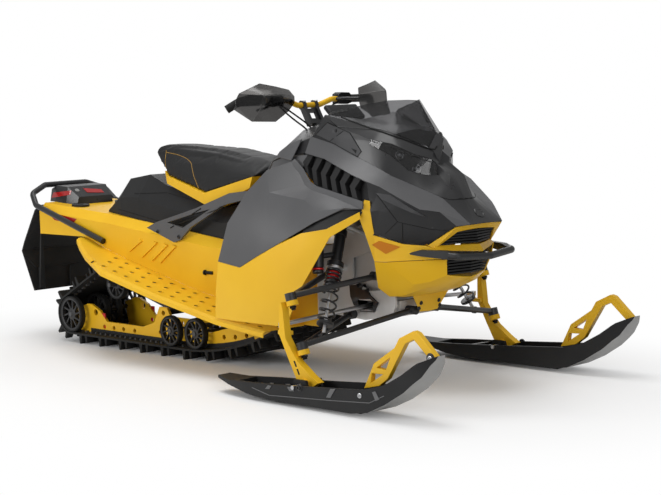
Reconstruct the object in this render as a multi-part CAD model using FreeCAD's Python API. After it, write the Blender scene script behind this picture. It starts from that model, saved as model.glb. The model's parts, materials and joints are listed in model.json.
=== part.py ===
import FreeCAD, Part
import math
import os

# Snowmobile, in millimetres. +X is forward, +Y the rider's left, +Z up.
# The origin is on the ground under the middle of the vehicle's length.
# Points of bodywork are given for the left half as (x, half width, z) and mirrored.

Vector = FreeCAD.Vector

# Track: a rubber loop round a rear wheel, the curved rail fronts, a driver and a top idler.
TRACK_WIDTH = 381.0
BELT_THICKNESS = 8.0
LUG_HEIGHT = 38.0
LUG_THICKNESS = 10.0
PITCH_COUNT = 50
REAR_WHEEL_RADIUS = 82.0
REAR_WHEEL_X = -1110.0
RAIL_CURVE_X = -300.0
DRIVER_X = 395.0
DRIVER_Z = 345.0
DRIVER_RADIUS = 86.0
APPROACH_ANGLE = math.radians(29.8)
CARRIER_X = -860.0
CARRIER_Z = 272.0
CARRIER_RADIUS = 68.0
BELT_INNER_Z = BELT_THICKNESS + LUG_HEIGHT
SEAT_GAP = 0.3


def rail_curve_radius():
    """Radius of the rails' front curve, whose tangent run meets the driver."""
    ahead = (DRIVER_X - RAIL_CURVE_X) * math.sin(APPROACH_ANGLE)
    rise = (DRIVER_Z - BELT_INNER_Z) * math.cos(APPROACH_ANGLE)
    return (DRIVER_RADIUS + ahead - rise) / (1 - math.cos(APPROACH_ANGLE))


RAIL_CURVE_RADIUS = rail_curve_radius()

# Skid: two rails with their wheels.
RAIL_Y = 128.0
RAIL_THICKNESS = 12.0
RAIL_HEIGHT = 52.0
WHEEL_WIDTH = 28.0
WHEEL_Y = TRACK_WIDTH / 2 - WHEEL_WIDTH - 2.5
AXLE_RADIUS = 10.0
LOWER_WHEEL_RADIUS = 65.0
LOWER_WHEEL_XS = (-399.0, -237.0)

# Tunnel and running boards.
TUNNEL_CLEARANCE = 17.5
TUNNEL_HALF = TRACK_WIDTH / 2 + TUNNEL_CLEARANCE
TUNNEL_TOP_HALF = TUNNEL_HALF - 33.0
BEVEL_DROP = 36.0
SHEET = 3.0
BOARD_HALF = 420.0
BOARD_LIP = 24.0

# Front suspension, right side; the left side is its mirror image.
KINGPIN_Y = 522.0
KINGPIN_LOW_X = 782.0
KINGPIN_LOW_Z = 188.0
KINGPIN_HIGH_Z = 360.0
CASTER = math.radians(16.7)
ARM_TUBE = 11.0
EYE_RADIUS = 20.0
EYE_HEIGHT = 28.0
STEERING_ARM = 89.0

# Skis.
SKI_Y = 540.0
SKI_HALF = 70.0
SKI_WALL = 8.0
SKI_BOLT_X = 818.0
SKI_BOLT_Z = 70.0
SKI_TIP_X = 1458.0

# Handlebar and steering column.
COLUMN_RAKE = math.radians(29.0)
BAR_X = 298.0
BAR_Z = 1044.0
BAR_RADIUS = 11.0
COLUMN_RADIUS = 16.0
RISER_FOOT = -80.0
RISER_HALF = 32.0
BAR_RISE = 20.0
GRIP_INNER_Y = 230.0
GRIP_OUTER_Y = 345.0
GRIP_RADIUS = 16.0

PANEL_WALL = 4.0
ANCHOR_BORE = 17.0
ANCHOR_HEIGHT = 9.0
SHUT_GAP = 0.5


def mirrored(shape):
    """The same piece on the other side of the vehicle."""
    return shape.mirror(Vector(0, 0, 0), Vector(0, 1, 0))


def kept(maker):
    """A maker whose piece is made once and then given again to its neighbours."""
    made = []

    def give():
        if not made:
            made.append(maker())
        return made[0]
    return give


def both_sides(shape):
    return Part.makeCompound([shape, mirrored(shape)])


def polygon_face(points):
    return Part.Face(Part.makePolygon(points + [points[0]]))


def plate_xz(outline, y_low, y_high):
    """A plate cut to an (x, z) outline, between two values of y."""
    face = polygon_face([Vector(x, y_low, z) for x, z in outline])
    return face.extrude(Vector(0, y_high - y_low, 0))


def plate_xy(outline, z_low, z_high):
    face = polygon_face([Vector(x, y, z_low) for x, y in outline])
    return face.extrude(Vector(0, 0, z_high - z_low))


def plate_yz(outline, x_low, x_high):
    face = polygon_face([Vector(x_low, y, z) for y, z in outline])
    return face.extrude(Vector(x_high - x_low, 0, 0))


def rod(start, end, radius):
    along = end.sub(start)
    return Part.makeCylinder(radius, along.Length, start, along)



def between(start, end, share):
    return start.add(end.sub(start).multiply(share))


def pipe(route, radius, bend):
    """A round bar along straight runs joined by tangent arcs of one radius."""
    edges = []
    last = route[0]
    for index in range(1, len(route) - 1):
        corner = route[index]
        back = route[index - 1].sub(corner)
        ahead = route[index + 1].sub(corner)
        back.normalize()
        ahead.normalize()
        half = back.getAngle(ahead) / 2
        reach = bend / math.tan(half)
        middle = back.add(ahead)
        middle.normalize()
        centre = corner.add(middle.multiply(bend / math.sin(half)))
        start = corner.add(Vector(back).multiply(reach))
        end = corner.add(Vector(ahead).multiply(reach))
        inward = corner.sub(centre)
        inward.normalize()
        edges.append(Part.makeLine(last, start))
        edges.append(Part.Arc(start, centre.add(inward.multiply(bend)), end).toShape())
        last = end
    edges.append(Part.makeLine(last, route[-1]))
    path = Part.Wire(edges)
    section = Part.Wire(Part.makeCircle(radius, route[0], route[1].sub(route[0])))
    return path.makePipeShell([section], True, False)


def shifted(start, x=0.0, y=0.0, z=0.0):
    return Vector(start.x + x, start.y + y, start.z + z)


def union(shapes):
    return shapes[0].multiFuse(shapes[1:]).removeSplitter()


def outside(shape, *neighbours):
    """The piece trimmed to butt against its neighbours, without what falls inside them."""
    for other in neighbours:
        shape = shape.cut(other)
    solids = sorted(shape.Solids, key=lambda solid: solid.Volume)
    return solids[-1]


def sleeve(start, end, radius, bore):
    """A tube from start to end."""
    along = end.sub(start)
    long_bore = Part.makeCylinder(bore, along.Length * 1.2, start.sub(Vector(along).multiply(0.1)), along)
    return rod(start, end, radius).cut(long_bore)


def skin(rows, wall, skipped=(), lift=0.0):
    """A faceted panel: a net of points on its outer face, thickened inwards by wall.

    rows run along the vehicle, a None leaves that corner of the net out, and lift
    stands the whole panel off the net. Four-sided cells fold on their shorter diagonal.
    """
    corners = []
    for i in range(len(rows) - 1):
        for j in range(len(rows[i]) - 1):
            ring = [(i, j), (i + 1, j), (i + 1, j + 1), (i, j + 1)]
            ring = [key for key in ring if rows[key[0]][key[1]] is not None]
            if (i, j) in skipped or len(ring) < 3:
                continue
            corners.append(ring)
    outer = {}
    normals = {}
    triangles = []
    for ring in corners:
        places = [Vector(*rows[i][j]) for i, j in ring]
        outer.update(zip(ring, places))
        if len(ring) == 3:
            triangles.append(tuple(ring))
        elif places[0].distanceToPoint(places[2]) <= places[1].distanceToPoint(places[3]):
            triangles += [(ring[0], ring[1], ring[2]), (ring[0], ring[2], ring[3])]
        else:
            triangles += [(ring[0], ring[1], ring[3]), (ring[1], ring[2], ring[3])]
    for a, b, c in triangles:
        normal = outer[b].sub(outer[a]).cross(outer[c].sub(outer[a]))
        for key in (a, b, c):
            normals[key] = normals.get(key, Vector(0, 0, 0)).add(normal)
    inner = {}
    for key, normal in normals.items():
        normal.normalize()
        outer[key] = outer[key].add(Vector(normal).multiply(lift))
        inner[key] = outer[key].sub(normal.multiply(wall))
    faces = []
    count = {}
    for a, b, c in triangles:
        faces.append(polygon_face([outer[a], outer[b], outer[c]]))
        faces.append(polygon_face([inner[a], inner[c], inner[b]]))
        for start, end in ((a, b), (b, c), (c, a)):
            count[(start, end)] = count.get((start, end), 0) + 1
    for start, end in count:
        if (end, start) in count:
            continue
        faces.append(polygon_face([outer[end], outer[start], inner[start]]))
        faces.append(polygon_face([outer[end], inner[start], inner[end]]))
    solid = Part.makeSolid(Part.makeShell(faces))
    if solid.Volume < 0:
        solid.reverse()
    return solid


def across(row):
    """One line of a panel that spans the vehicle, from its left half and the centre."""
    right = [(x, -y, z) for x, y, z in reversed(row) if y > 0]
    return right + list(row)


def level(x, line):
    """Height of a line of (x, z) points at x."""
    for (x0, z0), (x1, z1) in zip(line, line[1:]):
        if min(x0, x1) <= x <= max(x0, x1):
            return z0 + (z1 - z0) * (x - x0) / (x1 - x0)
    return min(line, key=lambda item: abs(item[0] - x))[1]


def station(line, x):
    """The point of a line of (x, y, z) points at x."""
    for low, high in zip(line, line[1:]):
        if low[0] <= x <= high[0]:
            return between(Vector(*low), Vector(*high), (x - low[0]) / (high[0] - low[0]))
    return Vector(*line[-1])


# The tunnel's top and the running board, as (x, z) lines seen from the side.
TUNNEL_REAR = -1285.0
TUNNEL_FRONT = 534.7
BOARD_FRONT = 455.0
TUNNEL_TOP = ((TUNNEL_REAR, 627.0), (-762.0, 589.0), (-45.0, 514.0), (TUNNEL_FRONT, 520.0))
BOARD_LINE = ((-930.0, 488.0), (-750.0, 432.0), (-550.0, 384.0), (-220.0, 311.0),
              (180.0, 240.0), (BOARD_FRONT, 212.0), (TUNNEL_FRONT, 212.0))


def belt_circles(offset):
    """The circles that the belt's face runs round, as (x, z, radius)."""
    return (
        (REAR_WHEEL_X, BELT_INNER_Z + REAR_WHEEL_RADIUS, REAR_WHEEL_RADIUS + offset),
        (RAIL_CURVE_X, BELT_INNER_Z + RAIL_CURVE_RADIUS, RAIL_CURVE_RADIUS + offset),
        (DRIVER_X, DRIVER_Z, DRIVER_RADIUS + offset),
        (CARRIER_X, CARRIER_Z, CARRIER_RADIUS + offset),
    )


def belt_runs(offset):
    """Straight runs of the loop: tangent points (start, end) and the run's direction."""
    circles = belt_circles(offset)
    runs = []
    for index, (x0, z0, r0) in enumerate(circles):
        x1, z1, r1 = circles[(index + 1) % len(circles)]
        distance = math.hypot(x1 - x0, z1 - z0)
        angle = math.atan2(z1 - z0, x1 - x0) + math.asin((r0 - r1) / distance)
        side = (math.sin(angle), -math.cos(angle))
        start = (x0 + r0 * side[0], z0 + r0 * side[1])
        end = (x1 + r1 * side[0], z1 + r1 * side[1])
        runs.append((start, end, angle))
    return runs


def belt_outline(offset):
    """The closed outline of the belt at an offset from its inner face."""
    circles = belt_circles(offset)
    runs = belt_runs(offset)
    edges = []
    for index, (start, end, angle) in enumerate(runs):
        x, z, radius = circles[(index + 1) % len(circles)]
        onward = runs[(index + 1) % len(runs)]
        turn = (onward[2] - angle) % (2 * math.pi)
        middle = angle + turn / 2
        top = Vector(x + radius * math.sin(middle), 0, z - radius * math.cos(middle))
        first = Vector(start[0], 0, start[1])
        last = Vector(end[0], 0, end[1])
        after = Vector(onward[0][0], 0, onward[0][1])
        edges.append(Part.makeLine(first, last))
        edges.append(Part.Arc(last, top, after).toShape())
    return Part.Wire(edges)


def belt_stations(count):
    """Evenly spaced places on the belt's outer face, as (x, z, direction)."""
    circles = belt_circles(BELT_THICKNESS)
    runs = belt_runs(BELT_THICKNESS)
    pieces = []
    for index, (start, end, angle) in enumerate(runs):
        length = math.hypot(end[0] - start[0], end[1] - start[1])
        pieces.append(("run", length, start, angle, 0.0))
        circle = circles[(index + 1) % len(circles)]
        turn = (runs[(index + 1) % len(runs)][2] - angle) % (2 * math.pi)
        pieces.append(("arc", turn * circle[2], circle, angle, turn))
    total = sum(piece[1] for piece in pieces)
    places = []
    for number in range(count):
        along = total * number / count
        for kind, length, base, angle, turn in pieces:
            if along > length:
                along -= length
                continue
            if kind == "run":
                x = base[0] + along * math.cos(angle)
                z = base[1] + along * math.sin(angle)
                places.append((x, z, angle))
            else:
                heading = angle + along / base[2]
                x = base[0] + base[2] * math.sin(heading)
                z = base[1] - base[2] * math.cos(heading)
                places.append((x, z, heading))
            break
    return places, total


def paddle(y_centre, width):
    """One lug of the track, standing down from the belt at the origin."""
    sink = 1.0
    root = LUG_THICKNESS
    tip = LUG_THICKNESS * 0.55
    outline = ((-root, sink), (root, sink), (tip, -LUG_HEIGHT), (-tip, -LUG_HEIGHT))
    return plate_xz(outline, y_centre - width / 2, y_centre + width / 2)


def track():
    """The rubber loop with its rows of lugs."""
    half = TRACK_WIDTH / 2
    outer = Part.Face(belt_outline(BELT_THICKNESS))
    inner = Part.Face(belt_outline(0.0))
    belt = outer.cut(inner).extrude(Vector(0, TRACK_WIDTH, 0))
    belt.translate(Vector(0, -half, 0))
    side_width = TRACK_WIDTH * 0.24
    middle_width = TRACK_WIDTH * 0.34
    patterns = (
        (paddle(0, middle_width),),
        (paddle(half - side_width / 2, side_width), paddle(side_width / 2 - half, side_width)),
    )
    places, total = belt_stations(PITCH_COUNT)
    lugs = []
    for number, (x, z, heading) in enumerate(places):
        for lug in patterns[number % 2]:
            copy = lug.copy()
            copy.rotate(Vector(0, 0, 0), Vector(0, -1, 0), math.degrees(heading))
            copy.translate(Vector(x, 0, z))
            lugs.append(copy)
    print("track loop %.0f mm, pitch %.1f mm" % (total, total / PITCH_COUNT))
    return belt.multiFuse(lugs)


def rail():
    """One slide rail: a bar that follows the belt, with a raised bracket and holes."""
    low = BELT_INNER_Z + SEAT_GAP
    radius = RAIL_CURVE_RADIUS - SEAT_GAP
    centre_z = BELT_INNER_Z + RAIL_CURVE_RADIUS
    rear_x = REAR_WHEEL_X + REAR_WHEEL_RADIUS * 0.15
    front_turn = math.radians(22.0)
    end = Vector(RAIL_CURVE_X + radius * math.sin(front_turn), 0, centre_z - radius * math.cos(front_turn))
    mid = Vector(RAIL_CURVE_X + radius * math.sin(front_turn / 2), 0,
                 centre_z - radius * math.cos(front_turn / 2))
    start = Vector(RAIL_CURVE_X, 0, low)
    upper = (
        (end.x - 20, end.z + 42), (end.x - 170, 168), (-180, 118), (-330, 112), (-420, 120),
        (-470, 200), (-520, 200), (-560, 128), (-640, 104), (-900, 104), (-950, 150),
        (-1010, 175), (-1040, 175), (REAR_WHEEL_X - 10, 150),
    )
    edges = [Part.makeLine(Vector(rear_x, 0, low), start), Part.Arc(start, mid, end).toShape()]
    last = end
    for x, z in upper:
        corner = Vector(x, 0, z)
        edges.append(Part.makeLine(last, corner))
        last = corner
    edges.append(Part.makeLine(last, Vector(rear_x, 0, low)))
    bar = Part.Face(Part.Wire(edges)).extrude(Vector(0, RAIL_THICKNESS, 0))
    holes = []
    for x, z, r in ((-980, 140, 14), (-920, 80, 10), (-850, 80, 10), (-780, 80, 10), (-700, 80, 10),
                    (-495, 175, 11), (-495, 130, 14), (-520, 90, 10), (-450, 90, 10), (-100, 106, 10),
                    (-30, 112, 10), (40, 124, 10)):
        holes.append(Part.makeCylinder(r, RAIL_THICKNESS, Vector(x, 0, z), Vector(0, 1, 0)))
    axles = [(REAR_WHEEL_X, BELT_INNER_Z + REAR_WHEEL_RADIUS)] + [(x, lower_wheel_z(x)) for x in LOWER_WHEEL_XS]
    for x, z in axles:
        holes.append(Part.makeCylinder(AXLE_RADIUS + SEAT_GAP, RAIL_THICKNESS, Vector(x, 0, z), Vector(0, 1, 0)))
    bar = bar.cut(Part.makeCompound(holes))
    bar.translate(Vector(0, RAIL_Y, 0))
    return bar


def slide_rails():
    """Both rails and the cross tubes that the shocks stand on."""
    pieces = [rail(), mirrored(rail())]
    for x, z in SHOCK_FEET:
        pieces.append(rod(Vector(x, -RAIL_Y, z), Vector(x, RAIL_Y, z), AXLE_RADIUS))
    return union(pieces)


def wheel(x, z, radius, y, width, spokes=5):
    """A spoked wheel between y and y + width, with a rubber-tyred rim."""
    rim = radius * 0.2
    hub = radius * 0.3
    axis = Vector(0, 1, 0)
    ring = Part.makeCylinder(radius, width, Vector(x, y, z), axis)
    ring = ring.cut(Part.makeCylinder(radius - rim, width, Vector(x, y, z), axis))
    boss = Part.makeCylinder(hub, width, Vector(x, y, z), axis)
    pieces = [ring, boss]
    spoke_width = radius * 0.26
    reach = radius - rim * 0.7
    for number in range(spokes):
        bar = Part.makeBox(reach, width * 0.55, spoke_width, Vector(x, y + width * 0.25, z - spoke_width / 2))
        bar.rotate(Vector(x, y, z), axis, 360.0 * number / spokes + 90)
        pieces.append(bar)
    bore = Part.makeCylinder(AXLE_RADIUS, width, Vector(x, y, z), axis)
    return union(pieces).cut(bore)


def axle_with_wheels(x, z, radius, wheel_ys, reach):
    """A cross axle with its wheels pressed on."""
    shaft = rod(Vector(x, -reach, z), Vector(x, reach, z), AXLE_RADIUS)
    parts = [shaft]
    for y in wheel_ys:
        parts.append(wheel(x, z, radius, y, WHEEL_WIDTH))
        parts.append(mirrored(wheel(x, z, radius, y, WHEEL_WIDTH)))
    return union(parts)


def lower_wheel_z(x):
    """Height of a lower wheel that rests on the belt, also where the belt curves up."""
    reach = RAIL_CURVE_RADIUS - LOWER_WHEEL_RADIUS - SEAT_GAP
    ahead = max(0.0, x - RAIL_CURVE_X)
    return BELT_INNER_Z + RAIL_CURVE_RADIUS - math.sqrt(reach ** 2 - ahead ** 2)


def rear_wheels():
    z = BELT_INNER_Z + REAR_WHEEL_RADIUS
    return axle_with_wheels(REAR_WHEEL_X, z, REAR_WHEEL_RADIUS - SEAT_GAP, (WHEEL_Y, 20.0),
                            WHEEL_Y + WHEEL_WIDTH)


def lower_wheels():
    sets = []
    for x in LOWER_WHEEL_XS:
        sets.append(axle_with_wheels(x, lower_wheel_z(x), LOWER_WHEEL_RADIUS, (WHEEL_Y,), WHEEL_Y + WHEEL_WIDTH))
    return Part.makeCompound(sets)


def carrier_wheels():
    return axle_with_wheels(CARRIER_X, CARRIER_Z, CARRIER_RADIUS - SEAT_GAP, (88.0,), 150.0)


def drive_axle():
    shaft = rod(Vector(DRIVER_X, -TUNNEL_HALF + SHEET + SEAT_GAP, DRIVER_Z),
                Vector(DRIVER_X, TUNNEL_HALF - SHEET - SEAT_GAP, DRIVER_Z), 15.0)
    parts = [shaft]
    for y in (-125.0, -45.0, 45.0, 125.0):
        disc = Part.makeCylinder(DRIVER_RADIUS - SEAT_GAP, 22.0, Vector(DRIVER_X, y - 11.0, DRIVER_Z),
                                 Vector(0, 1, 0))
        parts.append(disc)
    return union(parts)


# Pivots of the skid's arms and shocks, as (x, z): on the rails and on the tunnel.
REAR_ARM_LOW = (-495.0, 175.0)
REAR_ARM_HIGH = (-150.0, 362.0)
FRONT_ARM_LOW = (-30.0, 112.0)
FRONT_ARM_HIGH = (180.0, 330.0)
SHOCK_FEET = ((-330.0, 96.0), (60.0, 128.0))
PIVOT_RADIUS = 12.0


def skid_arms():
    """Front and rear suspension arms between the rails and the tunnel."""
    arms = []
    inside_rails = RAIL_Y - SEAT_GAP
    inside_tunnel = TUNNEL_HALF - SHEET - SEAT_GAP
    for low, high in ((REAR_ARM_LOW, REAR_ARM_HIGH), (FRONT_ARM_LOW, FRONT_ARM_HIGH)):
        pieces = [rod(Vector(low[0], -inside_rails, low[1]), Vector(low[0], inside_rails, low[1]), PIVOT_RADIUS),
                  rod(Vector(high[0], -inside_tunnel, high[1]), Vector(high[0], inside_tunnel, high[1]),
                      PIVOT_RADIUS)]
        for y in (-100, 100):
            pieces.append(rod(Vector(low[0], y, low[1]), Vector(high[0], y, high[1]), PIVOT_RADIUS + 1))
        if low == REAR_ARM_LOW:
            for y in (-70, 70):
                shaft = Vector(CARRIER_X, y, CARRIER_Z)
                pieces.append(rod(Vector(low[0], y, low[1]), shaft, 9.0))
                pieces.append(rod(shifted(shaft, y=-12), shifted(shaft, y=12), 19.0))
            arm = union(pieces)
            arms.append(arm.cut(rod(Vector(CARRIER_X, -150, CARRIER_Z), Vector(CARRIER_X, 150, CARRIER_Z),
                                    AXLE_RADIUS + SEAT_GAP)))
        else:
            arms.append(union(pieces))
    return Part.makeCompound(arms)


def skid_shocks():
    """The two shocks of the skid, with an eye at each end."""
    shapes = []
    for foot, head, radius in ((SHOCK_FEET[0], REAR_ARM_HIGH, 27.0), (SHOCK_FEET[1], FRONT_ARM_HIGH, 24.0)):
        start = Vector(foot[0], 0, foot[1])
        end = Vector(head[0], 0, head[1])
        pieces = [rod(between(start, end, 0.2), between(start, end, 0.84), radius), rod(start, end, 8.0)]
        for centre in (start, end):
            pieces.append(rod(shifted(centre, y=-14), shifted(centre, y=14), 22.0))
        body = union(pieces)
        for centre, pin in ((start, AXLE_RADIUS), (end, PIVOT_RADIUS)):
            body = body.cut(rod(shifted(centre, y=-40), shifted(centre, y=40), pin + SEAT_GAP))
        shapes.append(body)
    return Part.makeCompound(shapes)


def tunnel():
    """Folded sheet over the track: a top, two bevels and two sides."""
    def section(x, inset):
        top = level(x, TUNNEL_TOP) - inset
        foot = level(x, BOARD_LINE)
        half = TUNNEL_HALF - inset
        crown = TUNNEL_TOP_HALF - inset * 0.5
        ring = ((half, foot), (half, top - BEVEL_DROP), (crown, top))
        points = [Vector(x, y, z) for y, z in ring]
        points += [Vector(x, -y, z) for y, z in reversed(ring)]
        return Part.makePolygon(points + [points[0]])
    stations = (TUNNEL_REAR, -930.0, -762.0, -750.0, -550.0, -220.0, -45.0, 180.0, BOARD_FRONT, TUNNEL_FRONT)
    outer = Part.makeLoft([section(x, 0.0) for x in stations], True, True)
    inner = Part.makeLoft([section(x, SHEET) for x in stations], True, True)
    floor = []
    for x in stations:
        foot = level(x, BOARD_LINE)
        half = TUNNEL_HALF - SHEET
        ring = [Vector(x, half, foot - 5), Vector(x, half, foot + 5), Vector(x, -half, foot + 5),
                Vector(x, -half, foot - 5)]
        floor.append(Part.makePolygon(ring + [ring[0]]))
    hollow = inner.fuse(Part.makeLoft(floor, True, True))
    return outer.cut(hollow).removeSplitter()


def running_board():
    """Left foot board: a sheet that sweeps up at the rear, with a rolled outer lip."""
    rows = []
    for x, half in ((-930.0, 262.0), (-860.0, 300.0), (-750.0, 350.0), (-550.0, BOARD_HALF),
                    (-220.0, BOARD_HALF), (180.0, BOARD_HALF), (BOARD_FRONT, BOARD_HALF)):
        z = level(x, BOARD_LINE)
        inner = TUNNEL_HALF + SEAT_GAP
        rows.append([(x, inner, z), (x, half - 14, z), (x, half, z - 8), (x, half, z - BOARD_LIP)])
    return skin(rows, SHEET)


@kept
def ski():
    """The left ski: a channel with a keel, a flat tail and an upturned nose."""
    low = ((365.0, 52.0), (450.0, 38.0), (560.0, 20.0), (680.0, 12.0), (1100.0, 12.0), (1180.0, 24.0),
           (1260.0, 60.0), (1340.0, 108.0), (1410.0, 165.0), (SKI_TIP_X - 6, 222.0))
    high = ((SKI_TIP_X, 236.0), (1395.0, 210.0), (1330.0, 165.0), (1255.0, 124.0), (1160.0, 100.0),
            (1000.0, 88.0), (820.0, 76.0), (560.0, 62.0), (450.0, 56.0), (365.0, 62.0))
    body = plate_xz(low + high, SKI_Y - SKI_HALF, SKI_Y + SKI_HALF)
    plan = ((352.0, -26.0), (352.0, 26.0), (450.0, 52.0), (600.0, 70.0), (1250.0, 70.0), (1380.0, 58.0),
            (1440.0, 36.0), (1460.0, 14.0), (1460.0, -14.0), (1440.0, -36.0), (1380.0, -58.0),
            (1250.0, -70.0), (600.0, -70.0), (450.0, -52.0))
    body = body.common(plate_xy([(x, SKI_Y + y) for x, y in plan], -10, 300))
    floor = ((500.0, 42.0), (620.0, 28.0), (1090.0, 28.0), (1170.0, 42.0), (1250.0, 78.0), (1330.0, 126.0),
             (1395.0, 180.0), (1395.0, 300.0), (500.0, 300.0))
    pocket = plate_xz(floor, SKI_Y - SKI_HALF + SKI_WALL, SKI_Y + SKI_HALF - SKI_WALL)
    inner_plan = ((480.0, -38.0), (480.0, 38.0), (600.0, 60.0), (1250.0, 60.0), (1390.0, 44.0),
                  (1390.0, -44.0), (1250.0, -60.0), (600.0, -60.0))
    pocket = pocket.common(plate_xy([(x, SKI_Y + y) for x, y in inner_plan], 0, 300))
    body = body.cut(pocket)
    keel = plate_xz(((600.0, 14.0), (700.0, 0.0), (1090.0, 0.0), (1150.0, 22.0)), SKI_Y - 12, SKI_Y + 12)
    body = body.fuse(keel)
    for side in (-1, 1):
        saddle = plate_xz(((770.0, 26.0), (870.0, 26.0), (850.0, 92.0), (790.0, 92.0)),
                          SKI_Y + side * 34 - 6, SKI_Y + side * 34 + 6)
        body = body.fuse(saddle)
    bolt_hole = Part.makeCylinder(8.0, 200, Vector(SKI_BOLT_X, SKI_Y - 100, SKI_BOLT_Z), Vector(0, 1, 0))
    return body.cut(bolt_hole).removeSplitter()


def ski_loop():
    """The loop that the ski is lifted by: a flat arch with a braced rear leg."""
    outline = ((1108.0, 90.0), (1158.0, 181.0), (1256.0, 243.0), (1278.0, 277.0), (1345.0, 308.0),
               (1363.0, 303.0), (1449.0, 226.0), (1420.0, 214.0), (1345.0, 278.0), (1307.0, 262.0),
               (1222.0, 135.0), (1180.0, 106.0))
    plate = outside(plate_xz(outline, SKI_Y - 11, SKI_Y + 11), ski())
    upper = plate_xz(((1172.0, 168.0), (1234.0, 207.0), (1214.0, 164.0)), SKI_Y - 20, SKI_Y + 20)
    lower = plate_xz(((1148.0, 146.0), (1199.0, 148.0), (1142.0, 113.0)), SKI_Y - 20, SKI_Y + 20)
    return plate.cut(upper).cut(lower)


def kingpin(z):
    """The point of the left kingpin axis at a height."""
    x = KINGPIN_LOW_X - (z - KINGPIN_LOW_Z) * math.tan(CASTER)
    return Vector(x, KINGPIN_Y, z)


def spindle():
    """Left spindle: a C-shaped casting from the upper ball joint down to the ski bolt."""
    top = kingpin(KINGPIN_HIGH_Z)
    bottom = kingpin(KINGPIN_LOW_Z)
    web = ((top.x - 22, 356.0), (top.x - 34, 344.0), (top.x - 36, 240.0), (bottom.x - 40, 150.0),
           (SKI_BOLT_X - 26, 62.0), (SKI_BOLT_X + 26, 60.0), (SKI_BOLT_X + 70, 84.0),
           (SKI_BOLT_X + 30, 108.0), (bottom.x + 6, 150.0), (bottom.x - 14, 172.0), (top.x - 4, 230.0),
           (top.x - 14, 330.0))
    body = plate_xz(web, SKI_Y - 15, SKI_Y + 15)
    axis = kingpin(KINGPIN_HIGH_Z).sub(kingpin(KINGPIN_LOW_Z))
    axis.normalize()
    lugs = []
    for centre in (top, bottom):
        boss = Part.makeCylinder(22.0, 18.0, centre.sub(Vector(axis).multiply(18.0)), axis)
        lugs.append(boss)
    arm_end = steering_arm_end()
    arm = plate_xy(((top.x - 10, KINGPIN_Y - 12), (arm_end.x, arm_end.y - 13), (arm_end.x, arm_end.y + 13),
                    (top.x - 10, KINGPIN_Y + 14)), arm_end.z - 14, arm_end.z)
    arm_boss = Part.makeCylinder(15.0, 14.0, arm_end.sub(Vector(0, 0, 14.0)), Vector(0, 0, 1))
    foot = Part.makeCylinder(24.0, 44.0, Vector(SKI_BOLT_X, SKI_Y - 22, SKI_BOLT_Z), Vector(0, 1, 0))
    body = union([body, arm, arm_boss, foot] + lugs)
    bore = Part.makeCylinder(8.0, 60.0, Vector(SKI_BOLT_X, SKI_Y - 30, SKI_BOLT_Z), Vector(0, 1, 0))
    return body.cut(bore)


def steering_arm_end():
    """Where the tie rod meets the spindle's rearward arm."""
    height = 250.0
    base = kingpin(height)
    return Vector(base.x - STEERING_ARM, KINGPIN_Y, height)


def ski_bolt():
    """The pin that the ski pivots on."""
    return Part.makeCylinder(7.7, 2 * SKI_HALF + 8, Vector(SKI_BOLT_X, SKI_Y - SKI_HALF - 4, SKI_BOLT_Z),
                             Vector(0, 1, 0))


BULKHEAD_HALF = 118.0
BULKHEAD_FRONT = 857.7
PIVOT_BARREL = 16.0
BARREL_HALF = 22.0
UPPER_INNER_FRONT = Vector(815.0, 175.0, 418.0)
UPPER_INNER_REAR = Vector(600.0, 175.0, 432.0)
LOWER_INNER_FRONT = Vector(BULKHEAD_FRONT + SEAT_GAP + BARREL_HALF, 58.0, 284.0)
LOWER_INNER_REAR = Vector(650.0, 150.0, 262.0)
SHOCK_TOP = Vector(675.0, 205.0, 600.0)
SHOCK_PIN = 8.0


def arm_eye(lug_z):
    axis = kingpin(KINGPIN_HIGH_Z).sub(kingpin(KINGPIN_LOW_Z))
    axis.normalize()
    return Part.makeCylinder(EYE_RADIUS, EYE_HEIGHT, kingpin(lug_z).add(Vector(axis).multiply(SEAT_GAP)), axis)


def arm_outer_end(lug_z):
    """Where an arm's two tubes meet, inside its eye."""
    return shifted(kingpin(lug_z + EYE_HEIGHT * 0.6), y=-EYE_RADIUS * 0.5)


def shock_pin_ends():
    """Ends of the lower arm's cross pin that the shock stands on."""
    end = arm_outer_end(KINGPIN_LOW_Z)
    return between(end, LOWER_INNER_FRONT, 0.22), between(end, LOWER_INNER_REAR, 0.26)


def shock_bottom():
    pin_front, pin_rear = shock_pin_ends()
    return between(pin_front, pin_rear, 0.48)


def front_arms():
    """Left upper and lower suspension arms, each two tubes and an eye."""
    arms = []
    for lug_z, front, rear in ((KINGPIN_HIGH_Z, UPPER_INNER_FRONT, UPPER_INNER_REAR),
                               (KINGPIN_LOW_Z, LOWER_INNER_FRONT, LOWER_INNER_REAR)):
        eye = arm_eye(lug_z)
        end = arm_outer_end(lug_z)
        tubes = [rod(end, front, ARM_TUBE), rod(end, rear, ARM_TUBE), eye]
        for inner in (front, rear):
            tubes.append(rod(shifted(inner, x=-BARREL_HALF), shifted(inner, x=BARREL_HALF), PIVOT_BARREL))
        if lug_z == KINGPIN_LOW_Z:
            pin_front, pin_rear = shock_pin_ends()
            tubes.append(rod(pin_front, pin_rear, SHOCK_PIN))
        arms.append(union(tubes))
    return Part.makeCompound(arms)


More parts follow.
